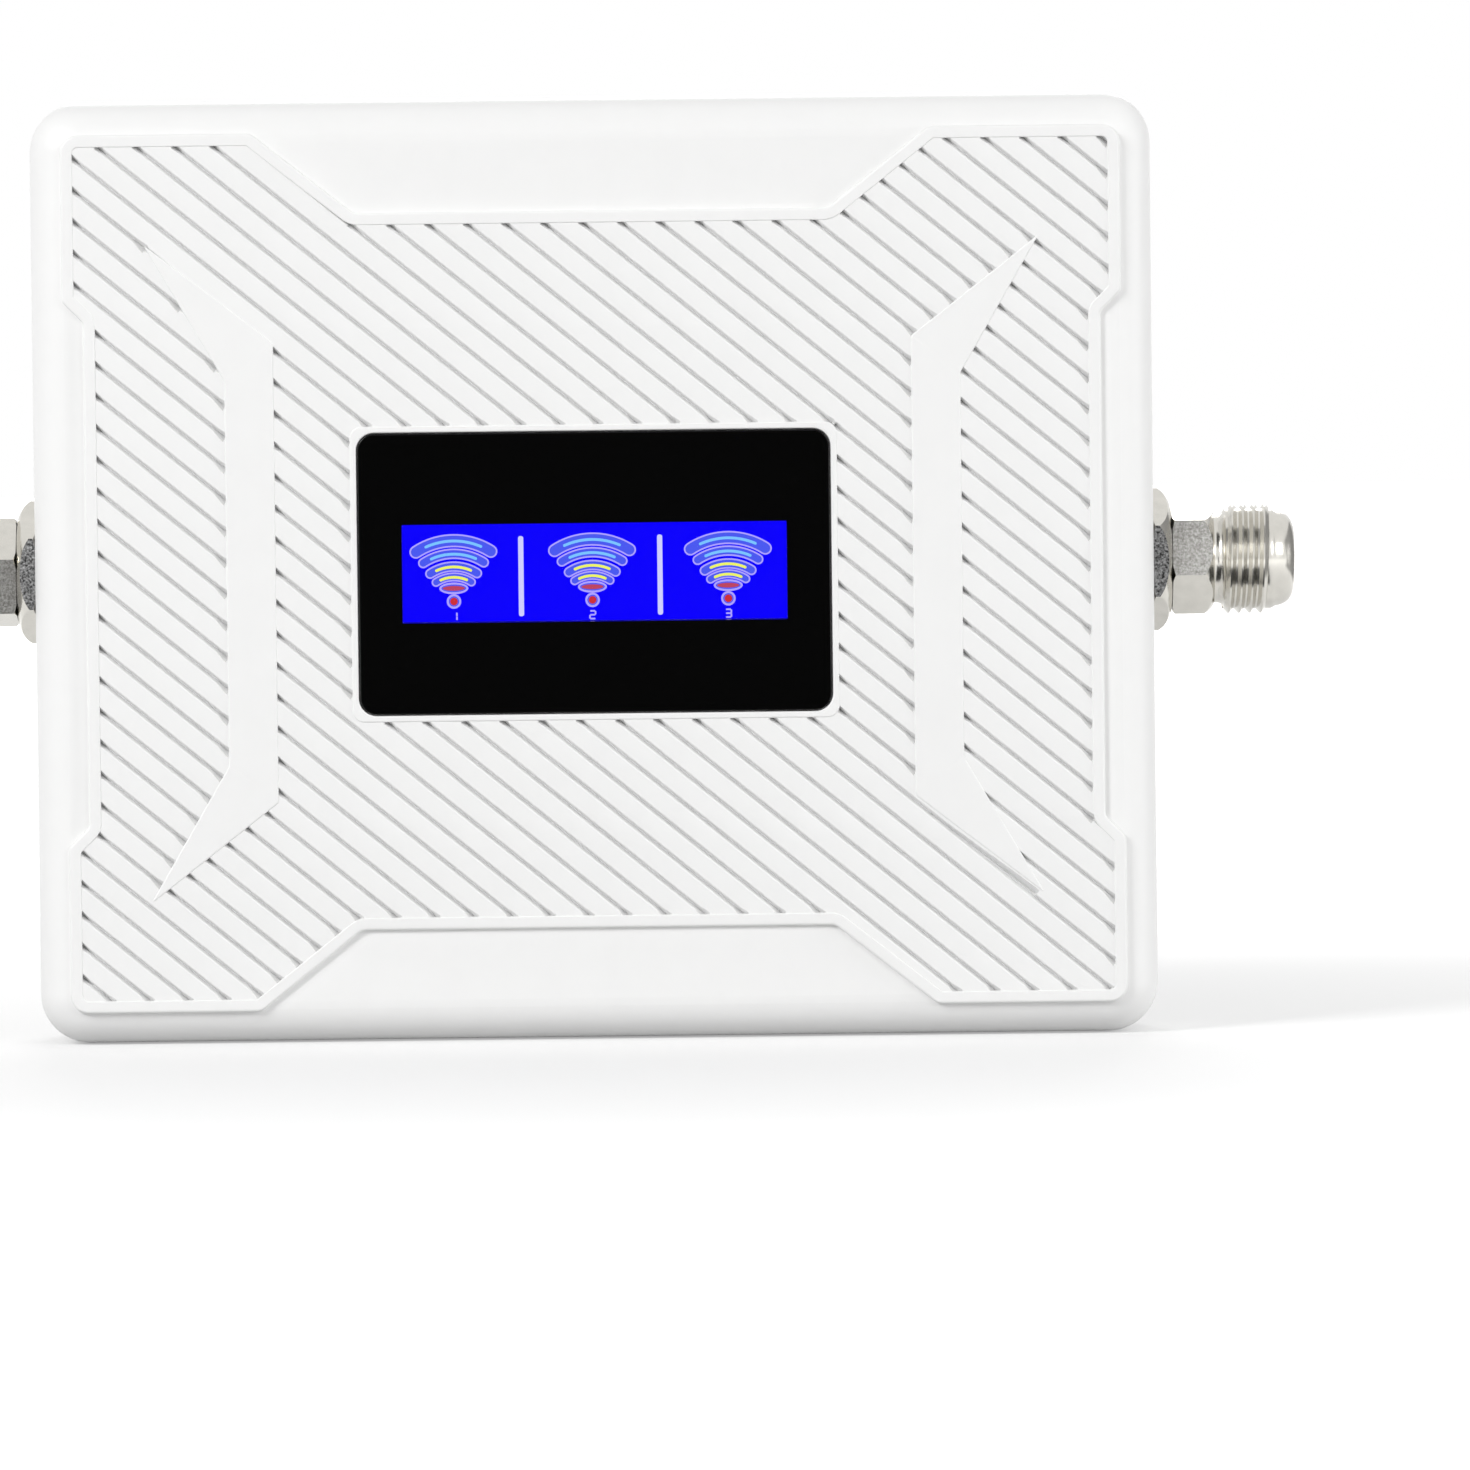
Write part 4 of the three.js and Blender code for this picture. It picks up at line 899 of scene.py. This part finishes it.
upright, faded = nodes.new("GeometryNodeSetCurveNormal"), nodes.new("GeometryNodeSetCurveRadius")
upright.mode = "Z_UP"
along = nodes.new("GeometryNodeSplineParameter")
ends = worked(thread, "PINGPONG", along.outputs["Factor"], 0.5)
grown = worked(thread, "MINIMUM", worked(thread, "MULTIPLY_ADD", ends, 14, 0.05), 1)
links.new(grown, faded.inputs["Radius"])
swept = nodes.new("GeometryNodeCurveToMesh")
preset(swept, Fill_Caps=True)
wire(
    links, (given, "Radius", spiral, "Start Radius"), (given, "Radius", spiral, "End Radius"),
    (given, "Turns", spiral, "Rotations"), (out, "Vector", laid, "Translation"),
    (shape, "Curve", laid, "Geometry"), (spiral, "Curve", upright, "Curve"),
    (upright, "Curve", faded, "Curve"), (faded, "Curve", swept, "Curve"),
    (laid, "Geometry", swept, "Profile Curve"),
)
made_real(nodes, links, given, swept.outputs["Mesh"], result)


def threaded(core, radius, depth, pitch, turns, start, material):
    """Adds a screw thread to a turned core whose surface there has this radius."""
    ridge = evaluated(
        bpy.data.meshes.new("ridge"), thread, Radius=radius, Depth=depth, Pitch=pitch,
        Turns=turns, Material=material,
    )
    bm = bmesh.new()
    bm.from_mesh(ridge)
    bmesh.ops.remove_doubles(bm, verts=bm.verts, dist=1e-5)
    return shaped(core, "UNION", moved(closed_mesh(bm), shift(z=start)))


def hexagon(across, turn):
    """The corners of a hexagon with this width across flats, its first corner at the turn."""
    corners = [polar(across / math.sqrt(3), math.radians(turn + 60 * k)) for k in range(6)]
    return [(*corner, 0) for corner in corners]


port_core = turned(
    [
        (5.5, -12.5), (6, -12), (6, HEX_START + 0.3), (6.2, HEX_START + 0.6),
        (6.2, NECK_START - 0.6), (6.5, NECK_START - 0.2), (6.42, NECK_START + 0.2),
        (6.42, NECK_START + 0.5), (6.52, NECK_START + 0.9), (6.75, NECK_START + 1.25),
        (7.1, NECK_START + 1.5), (PORT_ROOT, NECK_START + 1.65), (PORT_ROOT, NOSE_START - 0.5),
        (7.2, NOSE_START - 0.1), (7.0, NOSE_START + 0.2), (6.92, NOSE_START + 0.7),
        (6.78, NOSE_START + 1.2), (6.5, NOSE_START + 1.75), (6.1, NOSE_START + 2.25),
        (5.6, NOSE_START + 2.62), (5.0, NOSE_START + 2.86), (4.5, PORT_END), (4.25, PORT_END),
        (4.1, PORT_END - 0.15), (4.1, PORT_END - 9), (3.5, PORT_END - 9), (3.5, -13),
        (5.5, -12.5),
    ],
    72,
)


def wrench_faces(across, turn, start, end, dome):
    """A hexagon with domed ends. The dome gives, for each end, radii and depths from its face."""
    prism = solid((outline(hexagon(across, turn)), straight(start, end)))
    profile = [(0, start)] + [(radius, start + depth) for radius, depth in dome[0]]
    profile += [(radius, end - depth) for radius, depth in dome[1][::-1]] + [(0, end)]
    return shaped(prism, "INTERSECT", turned(profile, 72))


own_hex = wrench_faces(
    OWN_HEX, 15, HEX_START + 0.02, NECK_START,
    ([(7.6, 0), (8.3, 0.4)], [(6.7, 0), (7.2, 0.35), (7.7, 0.85), (8.4, 1.7)]),
)
own_hex = shaped(own_hex, "DIFFERENCE", rod(3.5, -20, 30, facets=72))
port_shell = shaped(port_core, "UNION", own_hex)
port_shell = threaded(
    port_shell, PORT_ROOT, PORT_THREAD - PORT_ROOT, PORT_PITCH, 4.15, THREAD_START - 0.35, nickel
)
flat = solid((outline(rectangle(2, 16)), straight(-14, HEX_START)))
port_shell = shaped(port_shell, "DIFFERENCE", moved(flat, shift(x=6.1)))

port_nut = wrench_faces(
    NUT_HEX, 30, 0, HEX_START - 0.02,
    ([(9.6, 0), (10.4, 0.35)],
     [(7, 0), (7.9, 0.14), (8.6, 0.4), (9.2, 0.75), (9.7, 1.15), (10.1, 1.6), (10.5, 2.2)]),
)
port_nut = shaped(port_nut, "DIFFERENCE", rod(PORT_HOLE, -1, 4, facets=72))

outwards = shift(HALF_WIDTH, 0, PORT_DEPTH) @ spin(ROUND, "Y")
port_stands = {"right": outwards, "left": spin(math.pi) @ outwards}
for side, stand in port_stands.items():
    for name, mesh, across, shade_level in (
        ("shell", port_shell, OWN_HEX, 0.7), ("nut", port_nut, NUT_HEX, 1.0),
    ):
        node = f"{side}_port_{name}"
        part = piece(node + "_turned", moved(mesh.copy(), stand), nickel, "port_nickel", node)
        centre = Vector((0, -PORT_DEPTH, 0)) / 1000
        faces = part.data.polygons
        # Painted shade: only the flat hex faces that look to the front or the back are marked, and
        # so darkened
        layer = part.data.attributes.new("milled", "FLOAT", "FACE")
        layer.data.foreach_set("value", [
            shade_level * (abs(face.normal.y) > 0.85 and abs(face.normal.x) < 0.01
                    and abs((face.center - centre).dot(face.normal) * 2000 - across) < 0.02)
            for face in faces
        ])

# Inside each port. A gilt socket contact, slit four times at its mouth so that it grips a pin, sits
# in a milky fluoroplastic bush. Behind the wall come a steel washer and the inner nut.
def finish(material, *names):
    """Gives the carried-over parts with these names their material."""
    for name in names:
        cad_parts[name].material_slots[0].material = material


gold = surface(
    "gilt_brass", (0.83, 0.6, 0.24), (0.9, 0.68, 0.32), (0.12, 0.22), 2000, (0.08, 0.00002),
    Metallic=1,
)
bush = surface(
    "fluoroplastic", (0.8, 0.8, 0.78), (0.87, 0.87, 0.85), (0.35, 0.45), 1800, (0.08, 0.00002),
    Subsurface_Weight=0.1, Subsurface_Scale=0.0005,
)
steel = surface(
    "zinc_plated_steel", (0.52, 0.53, 0.55), (0.7, 0.71, 0.73), (0.22, 0.36), 1400, (0.12, 0.00003),
    Metallic=1,
)
TIP = PORT_END - 4.6
contact = turned(
    [
        (0, -17.5), (0.6, -17.5), (0.8, -17.3), (0.8, -12.5), (1.2, -12.5), (1.2, PORT_END - 9),
        (1.5, PORT_END - 8.8), (1.5, TIP - 0.5), (1.38, TIP - 0.12), (1.2, TIP), (0.98, TIP),
        (0.85, TIP - 0.18), (0.85, TIP - 4), (0, TIP - 4),
    ],
    40,
)
for turn in (0, ROUND):
    slit = solid((outline(rectangle(0.26, 4)), straight(TIP - 3.2, TIP + 1)))
    contact = shaped(contact, "DIFFERENCE", moved(slit, spin(turn)))
for side, stand in port_stands.items():
    node = side + "_port_contact"
    piece(node + "_slit", moved(contact.copy(), stand), gold, "contact_gold", node)
    finish(bush, side + "_port_insulator")
    finish(steel, side + "_port_washer")
    finish(nickel, side + "_port_inner_nut")

# Power jack. A black moulded body on the main board, its round nose in the hole of the bottom wall,
# with a plated centre pin and a spring contact at the side of the bore.
black_plastic = surface(
    "black_plastic", (0.012, 0.012, 0.013), (0.022, 0.022, 0.023), (0.4, 0.55), 2200,
    (0.15, 0.00003),
)
downwards = spin(-ROUND, "X")
block = solid((outline(rectangle(9, 14, 0.3, 0, 8.8)), rounded(-5.6, 5, 0.2, 0.3)))
nose = moved(
    turned([(0, 0), (3.6, 0), (3.95, 0.12), (4.1, 0.4), (4.1, 4), (0, 4)], 64), downwards
)
mouth = turned([(0, -1), (3.2, -1), (3.2, 0), (2.9, 0.3), (2.9, 9.5), (0, 9.5)], 64)
spring = solid((outline(rectangle(1.6, 1.2, 0.2, 0, 2.9)), straight(2.5, 9)))
hollow = moved(shaped(mouth, "UNION", spring), downwards)
jack = shaped(shaped(block, "UNION", nose), "DIFFERENCE", hollow)
piece("dc_jack_moulding", moved(jack, jack_place), black_plastic, "jack_black", "dc_jack_body")
pin = turned(
    [(0, 1.2), (0.55, 1.2), (0.85, 1.35), (1.02, 1.7), (1.05, 2.2), (1.05, 9.5), (0, 9.5)], 32
)
slit = solid((outline(rectangle(0.3, 4)), straight(0, 5)))
pin = moved(shaped(pin, "DIFFERENCE", slit), downwards, jack_place)
piece("dc_jack_split_pin", pin, nickel, "screw_steel", "dc_jack_pin")

# Heat spreader. A milled aluminium plate on four posts of the back plate, with a soft grey pad
# under each amplifier band that carries its heat into the plate.
aluminium = surface(
    "milled_aluminium", (0.62, 0.63, 0.64), (0.78, 0.79, 0.8), (0.28, 0.42), 300, (0.2, 0.00003),
    spread=5, stretch=(1, 1, 30), Metallic=1,
)
pad = surface(
    "thermal_pad", (0.3, 0.33, 0.38), (0.38, 0.41, 0.46), (0.7, 0.85), 1500, (0.25, 0.00005),
)
finish(aluminium, "heat_spreader")
finish(pad, *(f"thermal_pad_{k}" for k in (1, 2, 3)))

# Boards. Glass-fibre boards under green lacquer: copper tracks show as lighter lines in it. The
# main board carries the radio, the small one behind the glass cell drives the display.
fibre = surface(
    "lacquered_board", (0.006, 0.09, 0.03), (0.012, 0.13, 0.045), (0.22, 0.34), 900,
    (0.1, 0.00002),
)
nodes, links = fibre.node_tree.nodes, fibre.node_tree.links
tracks, copper = nodes.new("ShaderNodeTexVoronoi"), nodes.new("ShaderNodeMix")
tracks.distance = "CHEBYCHEV"
copper.data_type = "RGBA"
line = nodes.new("ShaderNodeMapRange")
preset(tracks, Scale=260)
preset(line, From_Min=0.07, From_Max=0.08)
preset(copper, B=(0.03, 0.22, 0.08, 1))
edge = worked(fibre.node_tree, "PINGPONG", tracks.outputs["Distance"], 0.11)
links.new(edge, line.inputs["Value"])
wire(
    links, (nodes["Mapping"], "Vector", tracks, "Vector"), (line, "Result", copper, "Factor"),
    (nodes["grain"], "Color", copper, "A"),
    (copper, "Result", nodes["Principled BSDF"], "Base Color"),
)
finish(fibre, "main_board", "lcd_board")

# Amplifier bands. Over each amplifier chip stands a drawn tinplate can with rows of air holes, and
# below it two fired ceramic filters with three bores each.
tinplate = surface(
    "tinplate", (0.6, 0.6, 0.59), (0.74, 0.74, 0.73), (0.18, 0.32), 700, (0.1, 0.00003),
    spread=4, Metallic=1,
)
ceramic = surface(
    "fired_ceramic", (0.6, 0.58, 0.52), (0.7, 0.68, 0.63), (0.5, 0.65), 1600, (0.2, 0.00003),
)
epoxy = surface(
    "chip_epoxy", (0.018, 0.018, 0.019), (0.03, 0.03, 0.031), (0.5, 0.65), 3000, (0.2, 0.00002),
)
finish(tinplate, *(f"shield_can_{k}" for k in (1, 2, 3)))
finish(epoxy, *(f"amplifier_chip_{k}" for k in (1, 2, 3)))
finish(ceramic, *(f"ceramic_filter_{k}" for k in range(1, 7)))

# Controller and power parts. The controller chip stands on bent leads at its four sides. Two
# ferrite inductors and three bare aluminium capacitors smooth its supply.
BOARD, CHIP_HEIGHT = 11.5, -32
ferrite = surface(
    "ferrite", (0.07, 0.07, 0.075), (0.11, 0.11, 0.115), (0.6, 0.75), 1500, (0.3, 0.00005),
)
bare_can = surface(
    "capacitor_can", (0.55, 0.56, 0.58), (0.7, 0.71, 0.73), (0.25, 0.35), 900, (0.08, 0.00002),
    Metallic=1,
)
finish(ferrite, "power_inductor_1", "power_inductor_2")
chip_outline = rectangle(14, 14, 0.15, 0, CHIP_HEIGHT)
chip = solid((outline(chip_outline), rounded(BOARD, BOARD + 1.4, 0.05, 0.12, 2)))
piece("controller_body", chip, epoxy, "chip_black", "controller_chip")
lead = [(6.95, 0.55), (7.35, 0.55), (7.55, 0.15), (7.95, 0.15), (7.95, 0), (7.45, 0), (7.25, 0.4)]
lead += [(6.95, 0.4)]
legs = []
for k in range(4):
    row = cuts([(x, -6, BOARD + z) for x, z in lead], (0, 0.3, 0), (0, 0.9, 0), 14, steel)
    legs.append(moved(row, spin(ROUND * k), shift(y=CHIP_HEIGHT)))
piece("controller_leads", gathered(legs, "leads"), steel, "can_steel")
can = turned(
    [
        (0, BOARD), (3.7, BOARD), (3.95, BOARD + 0.2), (3.95, BOARD + 1.1), (3.7, BOARD + 1.4),
        (3.7, BOARD + 1.6), (3.95, BOARD + 1.9), (4, BOARD + 2.4), (4, BOARD + 8.1),
        (3.85, BOARD + 8.4), (3.5, BOARD + 8.5), (3.2, BOARD + 8.42), (0, BOARD + 8.42),
    ],
    48,
)
for turn in (0, ROUND):
    score = solid((outline(rectangle(0.25, 5)), straight(BOARD + 8.3, BOARD + 9)))
    can = shaped(can, "DIFFERENCE", moved(score, spin(turn)))
cans = repeated(can, [(x, -50, 0) for x in (-14, -24, -34)], bare_can)
piece("capacitors", cans, bare_can, "capacitor_can", *(f"capacitor_{k}" for k in (1, 2, 3)))

# Display module. A blackened steel bezel holds the glass cell and its milky backlight on the
# display board. A black header joins that board to the main board.
blackened = surface(
    "blackened_steel", (0.02, 0.02, 0.021), (0.035, 0.035, 0.037), (0.45, 0.6), 1500,
    (0.15, 0.00003), Specular_IOR_Level=0.2,
)
diffuser = surface(
    "milky_diffuser", (0.75, 0.78, 0.86), (0.82, 0.85, 0.92), (0.5, 0.6), 800, (0.05, 0.00002),
)
finish(blackened, "lcd_bezel")
finish(diffuser, "lcd_backlight")
finish(black_plastic, "display_header")

# Screws. Zinc-plated cross-head screws with coarse threads for plastic: four countersunk ones close
# the case from behind, four pan-head ones hold the main board, and four short ones the display.
def cross_screw(head, root, length):
    """A screw that points up from the top of its head, and takes a cross-shaped bit."""
    under, pitch = head[-1][1], 1.05
    body = turned(
        [(0, head[0][1]), *head, (root, under + 0.15), (root, length - 1.3), (0.35, length),
         (0, length)],
        40,
    )
    turns = (length - under - 2.2) / pitch
    body = threaded(body, root, 0.3, pitch, turns, under + 0.55, steel)
    width = 1.25 * head[1][0]
    for turn in (0, ROUND):
        blade = solid((outline(rectangle(width, 0.62)), [(0, -1), (0, 0.2), (0.22, 1.2)]))
        body = shaped(body, "DIFFERENCE", moved(blade, spin(turn)))
    return body


countersunk = cross_screw([(2.7, 0), (2.9, 0.12), (2.88, 0.22), (1.5, 1.6)], 1.15, 13)
pan = [(1.5, 0), (2.1, 0.22), (2.4, 0.6), (2.5, 1.1), (2.5, 1.7)]
screw_sets = (
    ("case_screws", countersunk, 1, 0.3, boss_places, "case_screw"),
    ("board_screws", cross_screw(pan, 0.98, 8.9), -1, BOARD + 1.7, post_places, "board_screw"),
    ("lcd_screws", cross_screw(pan, 0.98, 6.5), 1, 16.8, display_screws, "lcd_screw"),
)
for name, screw, way, start, places, node in screw_sets:
    if way < 0:
        screw = moved(screw, spin(math.pi, "X"))
    spots = [(x, y, start) for x, y in places]
    replaced = [f"{node}_{k}" for k in (1, 2, 3, 4)]
    piece(name, repeated(screw, spots, steel), steel, "screw_steel", *replaced)
